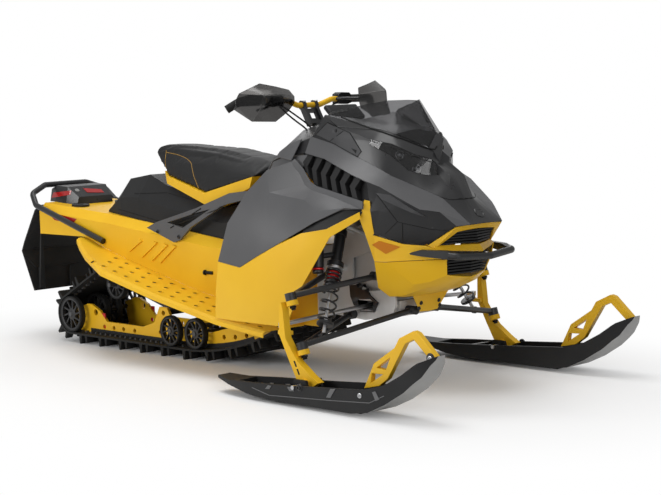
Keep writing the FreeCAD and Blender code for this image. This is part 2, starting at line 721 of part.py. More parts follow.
def front_shock():
    """Left shock: shaft, spring, body and a remote reservoir on a clamp."""
    low = shock_bottom()
    high = SHOCK_TOP
    pieces = [
        rod(between(low, high, 0.45), between(low, high, 0.96), 24.0),
        rod(between(low, high, 0.0), between(low, high, 0.5), 8.0),
        rod(between(low, high, 0.1), between(low, high, 0.13), 32.0),
        rod(between(low, high, 0.13), between(low, high, 0.62), 30.0),
        rod(between(low, high, 0.62), between(low, high, 0.66), 32.0),
    ]
    for centre, half, radius in ((low, 8.0, 14.0), (high, 14.0, 17.0)):
        pieces.append(rod(shifted(centre, x=-half), shifted(centre, x=half), radius))
    can_high = Vector(650.0, 332.0, 548.0)
    can_low = Vector(668.0, 352.0, 438.0)
    pieces.append(rod(can_low, can_high, 22.0))
    pieces.append(rod(between(low, high, 0.74), between(can_low, can_high, 0.55), 12.0))
    pin_front, pin_rear = shock_pin_ends()
    body = union(pieces).cut(rod(pin_front, pin_rear, SHOCK_PIN + SEAT_GAP))
    return body.cut(rod(shifted(high, x=-30), shifted(high, x=30), SHOCK_PIN + SEAT_GAP))


def tie_rod():
    """Left tie rod: from above the steering arm to the link plate."""
    end = steering_arm_end().add(Vector(0, 0, 20.0))
    inner = Vector(LINK_X, 60.0, 296.0)
    bar = rod(end, inner, 8.0)
    eye = Part.makeCylinder(12.0, 18.0, end.sub(Vector(0, 0, 11.0)), Vector(0, 0, 1))
    return bar.fuse(eye)


def steering_link():
    """Both tie rods and the thick plate between them, which slides sideways as one."""
    outline = ((670.0, -80.0), (730.0, -80.0), (745.0, 0.0), (730.0, 80.0), (670.0, 80.0))
    plate = plate_xy(outline, LINK_FLOOR, 310.0)
    return union([tie_rod(), mirrored(tie_rod()), plate])


LINK_FLOOR = 280.3
LINK_X = 700.0


def bulkhead():
    """Cast side plates, the cross tubes that join them and the suspension ears."""
    rear = TUNNEL_FRONT + SEAT_GAP
    outline = ((rear, 250.0), (rear, 516.0), (600.0, 560.0), (700.0, 600.0), (770.0, 520.0), (846.0, 440.0),
               (BULKHEAD_FRONT, 400.0), (BULKHEAD_FRONT, 302.0), (842.0, 262.0), (700.0, 240.0))
    window = ((640.0, 470.0), (740.0, 500.0), (800.0, 440.0), (800.0, 360.0), (730.0, 350.0), (640.0, 380.0))
    slot = Part.makeBox(90.0, 400.0, 36.0, Vector(LINK_X - 45, -200.0, 278.0))
    pieces = []
    for side in (-1, 1):
        middle = side * BULKHEAD_HALF
        plate = plate_xz(outline, middle - 5, middle + 5)
        plate = plate.cut(plate_xz(window, middle - 8, middle + 8))
        pieces.append(plate.cut(slot))
    pieces.append(Part.makeBox(6.0, 2 * TUNNEL_HALF, 266.0, Vector(rear, -TUNNEL_HALF, 250.0)))
    pieces.append(Part.makeBox(22.0, 200.0, 58.0, Vector(BULKHEAD_FRONT - 22, -100.0, 262.0)))
    guide = LINK_FLOOR - SEAT_GAP - 12.0
    for x, z, r in ((LINK_X, guide, 12.0), (690.0, 575.0, 14.0), (840.0, 410.0, 12.0), (835.0, 300.0, 12.0)):
        pieces.append(rod(Vector(x, -BULKHEAD_HALF, z), Vector(x, BULKHEAD_HALF, z), r))
    for pivot in (UPPER_INNER_FRONT, UPPER_INNER_REAR, LOWER_INNER_REAR):
        end = shifted(pivot, y=-PIVOT_BARREL - SEAT_GAP)
        ear = rod(Vector(pivot.x, BULKHEAD_HALF, pivot.z), end, 12.0)
        pieces += [ear, mirrored(ear)]
    for x in (-27, 27):
        stay = rod(Vector(SHOCK_TOP.x + x, BULKHEAD_HALF, 566.0), shifted(SHOCK_TOP, x=x), 8.0)
        pieces += [stay, mirrored(stay)]
    pin = rod(shifted(SHOCK_TOP, x=-30), shifted(SHOCK_TOP, x=30), SHOCK_PIN)
    pieces += [pin, mirrored(pin)]
    bearing = rod(column_point(-556.0), column_point(-515.0), 30.0)
    web = plate_xz(((rear + 3, 500.0), (rear + 3, 545.0), (565.0, 592.0), (700.0, 588.0), (700.0, 562.0),
                    (600.0, 540.0)), -6, 6)
    frame = union(pieces + [bearing, web])
    return frame.cut(rod(column_point(-545.0 - SEAT_GAP), column_point(-400.0), COLUMN_RADIUS + SEAT_GAP))


def engine():
    """The engine's mass, one plain block behind the bulkhead's windows."""
    return Part.makeBox(230.0, 200.0, 170.0, Vector(560.0, -100.0, 330.0))


# Bodywork lines, left half, from rear to front. Hood rows run from the centre outwards:
# crest, windshield line, upper and lower lamp line, edge of the shoulder strip.
HOOD_ROWS = (
    ((600, 0, 985), (585, 188, 1010), (632, 172, 965), (628, 174, 935), (618, 180, 901)),
    ((800, 0, 960), (815, 140, 952), (802, 170, 916), (798, 175, 900), (754, 190, 853)),
    ((880, 0, 950), (876, 120, 934), (887, 150, 901), (879, 155, 861), (854, 182, 811)),
    ((974, 0, 936), (957, 31, 881), (950, 110, 866), (940, 120, 802), (900, 168, 786)),
    ((1005, 0, 913), (976, 24, 868), (989, 50, 841), (985, 76, 785), (1000, 122, 740)),
    ((983, 0, 824), (990, 18, 824), (997, 38, 827), (1005, 33, 784), (1040, 104, 721)),
    ((1065, 0, 784), (1065, 18, 784), (1066, 37, 783), (1070, 50, 742), (1074, 88, 704)),
    ((1121, 0, 696), (1121, 12, 696), (1121, 24, 695), (1106, 54, 693), (1089, 87, 693)),
    ((1199, 0, 616), (1199, 20, 616), (1199, 42, 616), (1199, 64, 616), (1199, 85, 616)),
)
LAMP_ROWS = range(1, 5)
STRIP_UPPER = ((485, 170, 929),) + tuple(row[-1] for row in HOOD_ROWS)
STRIP_LOWER = ((482.0, 200.0, 866.0), (600.0, 216.0, 848.0), (774.0, 250.0, 794.0), (859.0, 262.0, 772.0),
               (915.0, 248.0, 752.0), (999.0, 220.0, 705.0), (1030.0, 209.0, 688.0), (1059.0, 198.0, 672.0),
               (1112.0, 150.0, 661.0), (1167.0, 125.0, 611.0))
BAND_UPPER = ((441.0, 215.0, 845.0), (494.0, 220.0, 807.0), (546.0, 235.0, 761.0), (595.0, 250.0, 746.0),
              (872.0, 290.0, 700.0))
BAND_LOWER = ((436.0, 228.0, 833.0), (478.0, 236.0, 792.0), (521.0, 248.0, 752.0), (577.0, 264.0, 733.0),
              (880.0, 301.0, 674.0))


@kept
def hood():
    """Upper shell of the nose, with a flange behind the strip and openings for the lamps."""
    rows = []
    for row in HOOD_ROWS:
        x, y, z = row[-1]
        flange = (x - 8, y - 5, z + 1) if row is HOOD_ROWS[-1] else (x - 2, y - 9, z - 13)
        rows.append(across(row + (flange,)))
    openings = [(i, j) for i in LAMP_ROWS for j in (2, 7)]
    return skin(rows, PANEL_WALL, skipped=openings)


@kept
def hood_side():
    """The dark faceted side of the nose, below the shoulder strip."""
    top = STRIP_LOWER[4:6] + STRIP_LOWER[7:]
    middle = ((925, 262, 668), (1000, 232, 626), (1067, 180, 608), (1120, 150, 600), (1163, 127, 609))
    foot = ((924, 240, 572), (977, 200, 549), (1052, 160, 543), (1096, 150, 566), (1162, 128, 607))
    rear = ((864, 260, 768), (893, 276, 665), (885, 251, 579))
    grid = []
    for column in [rear] + [column for column in zip(top, middle, foot)]:
        x, y, z = column[0]
        grid.append([(x, y - 10, z + 12)] + shut(column))
    return outside(skin(grid, PANEL_WALL), shoulder_strip(), nose_band())


def shut(column):
    """A panel's column of points, drawn in from both of its ends by the shut gap."""
    first, last = Vector(*column[0]), Vector(*column[-1])
    along = last.sub(first)
    along.normalize()
    first = first.add(Vector(along).multiply(SHUT_GAP))
    last = last.sub(Vector(along).multiply(SHUT_GAP))
    return [tuple(first)] + list(column[1:-1]) + [tuple(last)]


@kept
def shoulder_strip():
    """The long strip between the hood and the flank, from the dash to the nose."""
    rows = [shut(pair) for pair in zip(STRIP_UPPER, STRIP_LOWER)]
    return outside(skin(rows, PANEL_WALL), hood())


def dash_cheek():
    """The short strip beside the dash, behind the shoulder strip."""
    rows = (((336.0, 196.0, 872.0), (332.0, 211.0, 853.0)), ((369.0, 176.0, 900.0), (385.0, 219.0, 846.0)),
            ((435.0, 171.0, 919.0), (431.0, 226.0, 840.0)))
    return outside(skin(rows, PANEL_WALL), console())


@kept
def console():
    """Dash cover behind the hood, with a hole for the steering column."""
    rows = (
        across(((205.0, 0.0, 826.0), (205.0, 100.0, 822.0), (208.0, 140.0, 808.0), (235.0, 182.0, 768.0))),
        across(((275.0, 0.0, 888.0), (275.0, 112.0, 882.0), (285.0, 150.0, 866.0), (300.0, 200.0, 836.0))),
        across(((340.0, 0.0, 952.0), (340.0, 70.0, 948.0), (362.0, 168.0, 892.0), (350.0, 204.0, 850.0))),
        across(((450.0, 0.0, 994.0), (480.0, 85.0, 974.0), (484.0, 164.0, 924.0), (480.0, 190.0, 868.0))),
        across(((596.0, 0.0, 984.0), (581.0, 186.0, 1008.0), (628.0, 170.0, 963.0), (614.0, 178.0, 899.0))),
    )
    clear = Part.makeCylinder(COLUMN_RADIUS + 14.0, 400.0, column_point(-280.0), column_axis())
    return outside(skin(rows, PANEL_WALL).cut(clear), shoulder_strip(), mirrored(shoulder_strip()))


def dash_wall():
    """Lower side of the dash, from the cover down to the side panel."""
    line = ((235, 181, 764), (300, 199, 832), (350, 203, 846), (484, 188, 862))
    foot = ((228, 190, 700), (330, 214, 770), (400, 222, 800), (474, 210, 804))
    return outside(skin([(high, low) for high, low in zip(line, foot)], PANEL_WALL), console(), louvres())


def column_axis():
    return Vector(-math.sin(COLUMN_RAKE), 0, math.cos(COLUMN_RAKE))


def column_point(along):
    """A point of the steering axis, measured up it from the handlebar."""
    return Vector(BAR_X, 0, BAR_Z).add(column_axis().multiply(along))


@kept
def side_panel():
    """Upper side panel, dark: wide at the knee and drawn in towards the nose."""
    grid = (
        ((358, 285, 806), (312, 352, 725), (256, 404, 610), (211, 420, 462)),
        ((438, 223, 838), (430, 340, 726), (400, 410, 590), (338, 422, 446)),
        ((531, 243, 756), (520, 330, 712), (480, 402, 600), (430, 416, 492)),
        ((584, 258, 738), (600, 325, 702), (560, 388, 610), (511, 408, 530)),
        ((720, 276, 713), (712, 312, 696), (700, 348, 666), (700, 374, 626)),
        ((877, 296, 684), (872, 299, 677), (845, 314, 677), (815, 330, 680)),
    )
    return skin(grid, PANEL_WALL)


@kept
def panel_band():
    """The raised strip along the side panel's upper edge."""
    rows = [pair for pair in zip(BAND_UPPER, BAND_LOWER)]
    return outside(skin(rows, 7.0, lift=3.0), side_panel(), shoulder_strip())


def side_pocket():
    """The dark recess between the side panel's front and the lower panel."""
    grid = (((640, 372, 596), (640, 374, 580)), ((700, 358, 630), (762, 358, 602)),
            ((812, 314, 684), (860, 294, 648)), ((850, 284, 700), (872, 280, 690)))
    return outside(skin(grid, PANEL_WALL), side_panel(), lower_panel(), nose_cheek(), louvres(),
                   panel_band())


@kept
def lower_panel():
    """Lower side panel, yellow: a tall cheek with a return at its front edge."""
    grid = (
        ((211.0, 420.0, 461.0), (198.0, 424.0, 360.0), (190.0, 422.0, 300.0), (184.0, 420.3, 242.0)),
        ((338.0, 422.0, 445.0), (338.0, 428.0, 360.0), (338.0, 428.0, 300.0), (338.0, 424.0, 240.0)),
        ((511.0, 408.0, 529.0), (520.0, 420.0, 400.0), (520.0, 424.0, 320.0), (520.0, 422.0, 240.0)),
        ((640.0, 384.0, 585.0), (655.0, 388.0, 540.0), (644.0, 400.0, 379.0), (580.0, 416.0, 240.0)),
        ((764.0, 374.0, 604.0), (772.0, 366.0, 574.0), None, None),
        ((864.0, 302.0, 664.0), (866.0, 298.0, 640.0), None, None),
    )
    return outside(skin(grid, PANEL_WALL), side_panel())


@kept
def louvres():
    """Six ribs and their backing, between the shoulder strip and the panel's band."""
    backing = []
    for x in (455.0, 560.0, 660.0, 760.0, 872.0):
        high = station(STRIP_LOWER, max(x, STRIP_LOWER[0][0]))
        low = station(BAND_UPPER, x)
        backing.append([(x, high.y - 22.0, high.z + 4.0), (x, low.y - 20.0, low.z - 14.0)])
    pieces = [skin(backing, 5.0)]
    for number in range(6):
        x = 496.0 + 60.0 * number
        rows = []
        for near in (x, x + 31.0):
            high = station(STRIP_LOWER, near)
            low = station(BAND_UPPER, near + 10.0)
            middle = between(high, low, 0.45)
            rows.append([tuple(shifted(high, y=-4.0, z=-3.0)), tuple(shifted(middle, x=-16.0, y=3.0)),
                         tuple(shifted(low, y=-3.0, z=2.0))])
        pieces.append(skin(rows, 24.0))
    return outside(union(pieces), shoulder_strip(), side_panel(), panel_band())


def windshield():
    """Low smoked screen, folded along its crest."""
    upper = ((888, 0, 1053), (862, 32, 1056), (810, 84, 1056), (740, 130, 1044), (614, 186, 1018))
    lower = ((972, 0, 936), (960, 30, 881), (877, 121, 935), (800, 145, 956), (600, 188, 1007))
    return outside(skin([across(upper), across(lower)], PANEL_WALL), hood())


def lamp_rows(reach):
    """The lamp's opening from row to row of the hood, widened by reach above and below."""
    rows = []
    for row in HOOD_ROWS[LAMP_ROWS.start:LAMP_ROWS.stop + 1]:
        high, low = Vector(*row[2]), Vector(*row[3])
        along = low.sub(high)
        along.normalize()
        high = high.sub(Vector(along).multiply(reach))
        rows.append([tuple(high), tuple(low.add(Vector(along).multiply(reach)))])
    return rows


@kept
def headlamp():
    """Left headlamp's lens, flush in the hood's opening."""
    return outside(skin(lamp_rows(-SHUT_GAP), 3.0), hood())


def lamp_unit():
    """Left lamp's housing behind the lens, with its two round projectors."""
    rows = lamp_rows(9.0)
    pieces = [skin(rows, 5.0, lift=-24.0)]
    for index, share in ((1, 0.62), (2, 0.6)):
        high, low = Vector(*rows[index][0]), Vector(*rows[index][1])
        ahead = Vector(*rows[index + 1][0]).sub(high)
        outward = low.sub(high).cross(ahead)
        outward.normalize()
        middle = between(high, low, share).add(ahead.multiply(0.35))
        pieces.append(rod(middle.sub(Vector(outward).multiply(26.0)), middle.sub(Vector(outward).multiply(8.0)), 17.0))
    return outside(union(pieces), hood(), headlamp())


@kept
def belly_pan():
    """Lower nose: a keel-shaped pan up to the lower grille, with a skid plate under it."""
    rows = (
        ((866, 235, 477), (838, 190, 378), (859, 155, 343), (884, 98, 336), (884, 0, 334)),
        ((912, 226, 477), (905, 178, 385), (915, 140, 348), (923, 98, 343), (923, 0, 341)),
        ((994, 190, 483), (986, 160, 396), (990, 130, 374), (995, 80, 362), (995, 0, 360)),
        ((1060, 157, 487), (1045, 138, 407), (1050, 110, 392), (1055, 60, 385), (1055, 0, 383)),
        ((1117, 124, 489), (1100, 105, 431), (1108, 70, 424), (1115, 35, 418), (1121, 0, 414)),
    )
    lines = []
    for row in rows:
        flipped = [(x, -y, z) for x, y, z in row if y > 0]
        lines.append(list(row) + list(reversed(flipped)))
    shell = skin(lines, PANEL_WALL)
    plate_top = across(((924, 0, 344), (924, 97, 345)))
    plate_low = across(((911, 0, 276), (911, 47, 279)))
    return union([shell, skin([plate_top, plate_low], PANEL_WALL)])


@kept
def nose_cheek():
    """Yellow cheek above the pan, with a flange beside the hood's dark side."""
    grid = (
        ((878, 290, 706), (851, 289, 636), (860, 268, 572), (866, 235, 480)),
        ((893, 278, 702), (890, 266, 620), (885, 250, 576), (912, 226, 480)),
        (None, None, (977, 200, 545), (994, 190, 486)),
        (None, None, (1052, 160, 539), (1060, 157, 490)),
        (None, None, (1098, 158, 526), (1117, 124, 492)),
    )
    return outside(skin(grid, PANEL_WALL, skipped=((1, 1),)), hood_side(), belly_pan(), louvres(), nose_band(),
                   panel_band())


@kept
def nose_band():
    """Yellow trim over and under the upper grille, pointed at the centre."""
    trim_top = across(((1164, 0, 611), (1164, 62, 610), (1164, 125, 606), (1058, 158, 540)))
    trim_low = across(((1156, 0, 594), (1154, 55, 592), (1150, 101, 588), (1084, 150, 528)))
    band_top = across(((1166, 0, 538), (1143, 50, 539), (1120, 100, 540), (1086, 150, 541)))
    band_low = across(((1182, 0, 515), (1156, 54, 519), (1130, 106, 523), (1096, 158, 527)))
    trim = skin([trim_top, trim_low], PANEL_WALL)
    return union([trim, skin([band_top, band_low], PANEL_WALL + 2)])


def grille(slats):
    """Pointed horizontal slats with a back plate; slats give (z, side x, point x, half width)."""
    parts = []
    for z, x, point, half in slats:
        outline = ((x - 30, -half), (x - 3, -half), (point - 3, 0), (x - 3, half), (x - 30, half))
        parts.append(plate_xy(outline, z - 3, z + 3))
    sections = []
    for z, x, point, half in (slats[0], slats[-1]):
        ring = [Vector(x - 30, -half, z), Vector(x - 24, -half, z), Vector(x - 24, half, z),
                Vector(x - 30, half, z)]
        sections.append(Part.makePolygon(ring + [ring[0]]))
    parts.append(Part.makeLoft(sections, True, True))
    return union(parts)


def grilles():
    upper = grille([(546.0 + 10 * n, 1104.0 + 10 * n, 1161.0 - 2 * n, 134.0 - 9 * n) for n in range(5)])
    lower = grille([(434.0 + 11 * n, 1100.0 + 3 * n, 1120.0 + 2 * n, 98.0 + 4 * n) for n in range(6)])
    infill_top = across(((1156, 0, 528), (1130, 54, 528), (1103, 106, 528), (1078, 148, 528)))
    infill_low = across(((1108, 0, 485), (1104, 50, 486), (1094, 100, 487), (1072, 140, 488)))
    lower = union([lower, skin([infill_top, infill_low], PANEL_WALL)])
    lower = outside(lower, belly_pan(), nose_band(), nose_cheek(), mirrored(nose_cheek()))
    return Part.makeCompound([outside(upper, nose_band()), lower])


def front_bumper():
    """Bar across the nose on two tapered arms."""
    tube = pipe([Vector(1160.0, -160.0, 509.0), Vector(1192.0, -148.0, 506.0), Vector(1214.0, 0.0, 498.0),
                 Vector(1192.0, 148.0, 506.0), Vector(1160.0, 160.0, 509.0)], 13.0, 22.0)
    upper = ((1014.0, 207.0, 515.0), (1055.0, 200.0, 527.0), (1150.0, 167.0, 526.0), (1188.0, 152.0, 517.0))
    lower = ((1016.0, 206.0, 510.0), (1060.0, 198.0, 505.0), (1141.0, 170.0, 497.0), (1188.0, 152.0, 493.0))
    arm = skin([pair for pair in zip(upper, lower)], 22.0)
    return outside(union([tube, arm, mirrored(arm)]), belly_pan(), nose_cheek(), mirrored(nose_cheek()),
                   nose_band())


# Underside of the cushion, as (x, z).
SEAT_FOOT = ((-572.0, 850.0), (-450.0, 760.0), (-135.0, 700.0), (60.0, 745.0), (170.0, 772.0))


def seat():
    """Seat cushion: narrow and square at the rear, wide and low at the front."""
    def section(x, top, low, crown, mid, foot):
        side_z = low + (top - low) * 0.55
        ring = [(crown, top), (mid, side_z), (foot, low)]
        points = [Vector(x, y, z) for y, z in ring] + [Vector(x, -y, z) for y, z in reversed(ring)]
        return Part.makePolygon(points + [points[0]])
    widths = ((884.0, 70.0, 84.0, 88.0), (884.0, 82.0, 104.0, 122.0), (866.0, 104.0, 150.0, 188.0),
              (834.0, 112.0, 160.0, 196.0), (806.0, 110.0, 160.0, 190.0))
    rings = []
    for (x, low), (top, crown, mid, foot) in zip(SEAT_FOOT, widths):
        rings.append(section(x, top, low, crown, mid, foot))
    return Part.makeLoft(rings, True, True)


SEAT_BASE_LOW = 642.0


def seat_base():
    """Yellow tray under the cushion."""
    under = [(x, level(x, SEAT_FOOT) - SEAT_GAP) for x in (168.0, 60.0, -135.0, -450.0, -478.0)]
    outer = [(-453.0, 728.0), (-78.0, SEAT_BASE_LOW), (150.0, 726.0)] + under
    plan = ((-480.0, -112.0), (-453.0, -124.0), (-135.0, -190.0), (60.0, -198.0), (170.0, -192.0),
            (170.0, 192.0), (60.0, 198.0), (-135.0, 190.0), (-453.0, 124.0), (-480.0, 112.0))
    return plate_xz(outer, -210, 210).common(plate_xy(plan, 600, 800))


def tank_cover():
    """Black moulding on the tunnel, from behind the seat down to its base."""
    def section(x, top, crown, foot):
        low = level(x, TUNNEL_TOP) + SEAT_GAP
        ring = [(crown, top), (foot, (top + low) / 2), (foot, low)]
        points = [Vector(x, y, z) for y, z in ring] + [Vector(x, -y, z) for y, z in reversed(ring)]
        return Part.makePolygon(points + [points[0]])
    stations = ((-850.0, 612.0, 110.0, 140.0), (-762.0, 712.0, 104.0, 156.0), (-735.0, 742.0, 100.0, 160.0),
                (-600.0, 762.0, 96.0, 168.0), (-480.0, 722.0, 110.0, 168.0),
                (-78.0, SEAT_BASE_LOW - SEAT_GAP, 130.0, 168.0), (-45.0, 645.0, 130.0, 168.0),
                (195.0, 680.0, 130.0, 168.0))
    return Part.makeLoft([section(*item) for item in stations], True, True)


def seat_brace():
    """Left truss from the tunnel's edge up to the knee of the side panel."""
    outline = ((-478.0, 548.0), (-418.0, 572.0), (-150.0, 640.0), (60.0, 706.0), (190.0, 720.0), (190.0, 690.0),
               (30.0, 660.0), (-190.0, 560.0), (-262.0, 505.0), (-300.0, 494.0))
    plate = plate_xz(outline, TUNNEL_HALF + SEAT_GAP, TUNNEL_HALF + 14)
    window = plate_xz(((-340.0, 575.0), (-180.0, 614.0), (-60.0, 640.0), (-240.0, 556.0)), 150, 260)
    return plate.cut(window)


REAR_TUBE = 13.0


def rear_bumper():
    """A bar loop from the tunnel's flanks round the tail lamp."""
    flank = TUNNEL_HALF + REAR_TUBE + SEAT_GAP
    right = [Vector(-790.0, -flank, 476.0), Vector(-1290.0, -flank, 617.0), Vector(-1340.0, -205.0, 668.0),
             Vector(-1368.0, -115.0, 702.0)]
    left = [Vector(p.x, -p.y, p.z) for p in reversed(right)]
    return pipe(right + left, REAR_TUBE, 34.0)


def tail_lamp():
    rings = []
    for x, half, top in ((-1335.0, 112.0, 684.0), (TUNNEL_REAR, 120.0, 700.0), (-1200.0, 118.0, 696.0),
                         (-1140.0, 100.0, 650.0)):
        low = level(x, TUNNEL_TOP) + SEAT_GAP
        points = [Vector(x, half, low), Vector(x, half * 0.9, top), Vector(x, -half * 0.9, top),
                  Vector(x, -half, low)]
        rings.append(Part.makePolygon(points + [points[0]]))
    return Part.makeLoft(rings, True, True)


def snow_flap():
    """Rubber flap hung from the tunnel's rear end, bowed to the rear."""
    profile = ((-1286.0, 612.0), (-1330.0, 590.0), (-1428.0, 440.0), (-1451.0, 400.0), (-1400.0, 215.0))
    rows = []
    for x, z in profile:
        half = 200.0 if z > 230 else 176.0
        rows.append([(x, -half, z), (x, half, z)])
    sheet = skin(rows, 7.0)
    return sheet


def bar_route():
    """The handlebar's line for the left half, from its middle out to the end of the grip."""
    return (Vector(BAR_X, 0, BAR_Z), Vector(BAR_X + 2, 58.0, BAR_Z), Vector(BAR_X + 6, 120.0, BAR_Z + BAR_RISE),
            Vector(BAR_X - 13, GRIP_OUTER_Y, BAR_Z + BAR_RISE))


@kept
def handlebar():
    """The bent bar, which rises on each side of its clamps."""
    left = bar_route()
    right = [Vector(spot.x, -spot.y, spot.z) for spot in reversed(left[1:])]
    return pipe(right + list(left[1:]), BAR_RADIUS, 34.0)


def column_frame(ahead, along, y):
    """A point given by its distance ahead of the steering axis, along it, and y."""
    side = Vector(math.cos(COLUMN_RAKE), 0, math.sin(COLUMN_RAKE))
    return column_point(along).add(side.multiply(ahead)).add(Vector(0, y, 0))


def column_plate(ahead, along, y_low, y_high):
    """A box that stands along the steering axis; ahead and along are (low, high) pairs."""
    ring = [column_frame(ahead[0], along[0], y_low), column_frame(ahead[1], along[0], y_low),
            column_frame(ahead[1], along[1], y_low), column_frame(ahead[0], along[1], y_low)]
    return polygon_face(ring).extrude(Vector(0, y_high - y_low, 0))


def steering_column():
    """Steering column with the riser: two legs that clamp the bar and a plate between them."""
    pieces = [rod(column_point(-545.0), column_point(RISER_FOOT - 6), COLUMN_RADIUS),
              column_plate((-14.0, 14.0), (RISER_FOOT - 8, RISER_FOOT + 6), -RISER_HALF - 7, RISER_HALF + 7)]
    for side in (-1, 1):
        middle = side * RISER_HALF
        pieces.append(column_plate((-13.0, 13.0), (RISER_FOOT, 0.0), middle - 7, middle + 7))
        pieces.append(rod(Vector(BAR_X, middle - 7, BAR_Z), Vector(BAR_X, middle + 7, BAR_Z), 18.0))
    plate = column_plate((-5.0, 5.0), (RISER_FOOT, -18.0), -RISER_HALF, RISER_HALF)
    window = column_plate((-9.0, 9.0), (-62.0, -34.0), -15.0, 15.0)
    return outside(union(pieces + [plate.cut(window)]), handlebar())


def hand_guard():
    """Left guard: a cupped shield in front of the grip."""
    grid = (
        ((388, 188, 1104), (402, 174, 1080), (402, 174, 1056), (390, 198, 1024)),
        ((380, 250, 1118), (416, 255, 1088), (416, 258, 1050), (396, 268, 988)),
        ((360, 310, 1131), (402, 330, 1088), (400, 335, 1048), (370, 362, 992)),
        ((336, 392, 1096), (332, 404, 1076), (330, 406, 1054), (316, 402, 1040)),
    )
    rise = BAR_Z + BAR_RISE
    arm = pipe([Vector(BAR_X + 4, 140.0, rise), Vector(BAR_X + 40, 146.0, rise + 2), Vector(405.0, 190.0, rise)],
               6.0, 20.0)
    guard = skin(grid, PANEL_WALL)
    return guard, outside(arm, guard, handlebar(), bar_control())


@kept
def bar_control():
    """Left block of switches round the bar."""
    z = BAR_Z + BAR_RISE
    x = BAR_X
    outline = ((150.0, z - 18), (150.0, z + 18), (166.0, z + 26), (208.0, z + 24), (220.0, z + 14),
               (220.0, z - 16), (196.0, z - 22))
    return outside(plate_yz(outline, x - 18, x + 20), handlebar())


def brake_lever():
    z = BAR_Z + BAR_RISE
    return outside(pipe([Vector(BAR_X + 16, 200.0, z - 4), Vector(BAR_X + 46, 226.0, z - 5),
                         Vector(BAR_X + 34, 322.0, z - 5)], 5.0, 14.0), bar_control())


def throttle_lever():
    z = BAR_Z + BAR_RISE
    return rod(Vector(BAR_X - 4, -210.0, z - 21), Vector(BAR_X - 10, -262.0, z - 34), 5.0)


def bar_controls():
    left = union([bar_control(), brake_lever()])
    right = union([mirrored(bar_control()), throttle_lever()])
    return Part.makeCompound([left, right])


def grip():
    """Left grip with a hooked end."""
    outer = bar_route()[3]
    inner = between(bar_route()[2], outer, (GRIP_INNER_Y - 120.0) / (GRIP_OUTER_Y - 120.0))
    tip = shifted(outer, x=-26.0, y=44.0, z=-26.0)
    return outside(pipe([inner, shifted(outer, y=8.0), tip], GRIP_RADIUS, 22.0), handlebar())


def cargo_anchor():
    """Left socket on the tunnel's top for a rack's foot."""
    x = -1087.0
    (x0, z0), (x1, z1) = TUNNEL_TOP[0], TUNNEL_TOP[1]
    up = Vector(z0 - z1, 0, x1 - x0)
    up.normalize()
    base = Vector(x, 120.0, level(x, TUNNEL_TOP))
    ring = Part.makeCylinder(40.0, ANCHOR_HEIGHT, base, up)
    return ring.cut(Part.makeCylinder(ANCHOR_BORE, ANCHOR_HEIGHT, base, up))


PARTS = {}


def add(name, shape):
    PARTS[name] = shape


def build():
    """Make every piece of the vehicle."""
    add("track", track())
    add("slide_rails", slide_rails())
    add("rear_wheels", rear_wheels())
    add("lower_wheels", lower_wheels())
    add("carrier_wheels", carrier_wheels())
    add("drive_axle", drive_axle())
    add("skid_arms", skid_arms())
    add("skid_shocks", skid_shocks())
    add("tunnel", tunnel())
    add("running_board_left", running_board())
    add("running_board_right", mirrored(running_board()))
    add("bulkhead", bulkhead())
    add("engine", engine())
    add("hood", hood())
    add("hood_sides", both_sides(hood_side()))
    add("shoulder_strips", both_sides(shoulder_strip()))
    add("console", console())
    dash = [dash_wall(), dash_cheek()]
    add("dash_sides", Part.makeCompound(dash + [mirrored(shape) for shape in dash]))
    add("side_louvres", both_sides(louvres()))
    add("panel_bands", both_sides(panel_band()))
    add("side_pockets", both_sides(side_pocket()))
    add("windshield", windshield())
    add("headlamps", Part.makeCompound([headlamp(), outside(mirrored(headlamp()), hood())]))
    add("lamp_units", both_sides(lamp_unit()))
    add("belly_pan", belly_pan())
    add("nose_cheeks", both_sides(nose_cheek()))
    add("nose_band", nose_band())
    add("grilles", grilles())
    add("front_bumper", front_bumper())
    add("seat", seat())
    add("seat_base", seat_base())
    add("tank_cover", tank_cover())
    add("seat_braces", both_sides(seat_brace()))
    add("rear_bumper", rear_bumper())
    add("tail_lamp", tail_lamp())
    add("cargo_anchors", both_sides(cargo_anchor()))
    add("snow_flap", snow_flap())
    add("handlebar", handlebar())
    add("steering_column", steering_column())
    add("bar_controls", bar_controls())
    guard, arm = hand_guard()
    add("hand_guards", both_sides(guard))
    add("guard_arms", both_sides(arm))
    add("grips", both_sides(grip()))
    add("steering_link", steering_link())
    for side, turn in (("left", None), ("right", mirrored)):
        for name, maker in (("side_panel", side_panel), ("lower_panel", lower_panel), ("arms", front_arms),
                            ("shock", front_shock), ("spindle", spindle), ("ski", ski),
                            ("ski_loop", ski_loop), ("ski_bolt", ski_bolt)):
            shape = maker()
            add(name + "_" + side, shape if turn is None else turn(shape))


build()
os.makedirs("parts", exist_ok=True)
for node, shape in PARTS.items():
    if not shape.isValid():
        print("not valid:", node)
    shape.exportStep("parts/" + node + ".step")
print(len(PARTS), "nodes")
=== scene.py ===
"""Dresses the packed snowmobile: finishes, cushion, springs, lamps, trim, controls and a plain studio."""

import json
import logging
import math
from dataclasses import dataclass, replace
from enum import Enum
from typing import Optional, Sequence

import bmesh
import bpy
from mathutils import Matrix, Vector
from mathutils.bvhtree import BVHTree
from mathutils.kdtree import KDTree

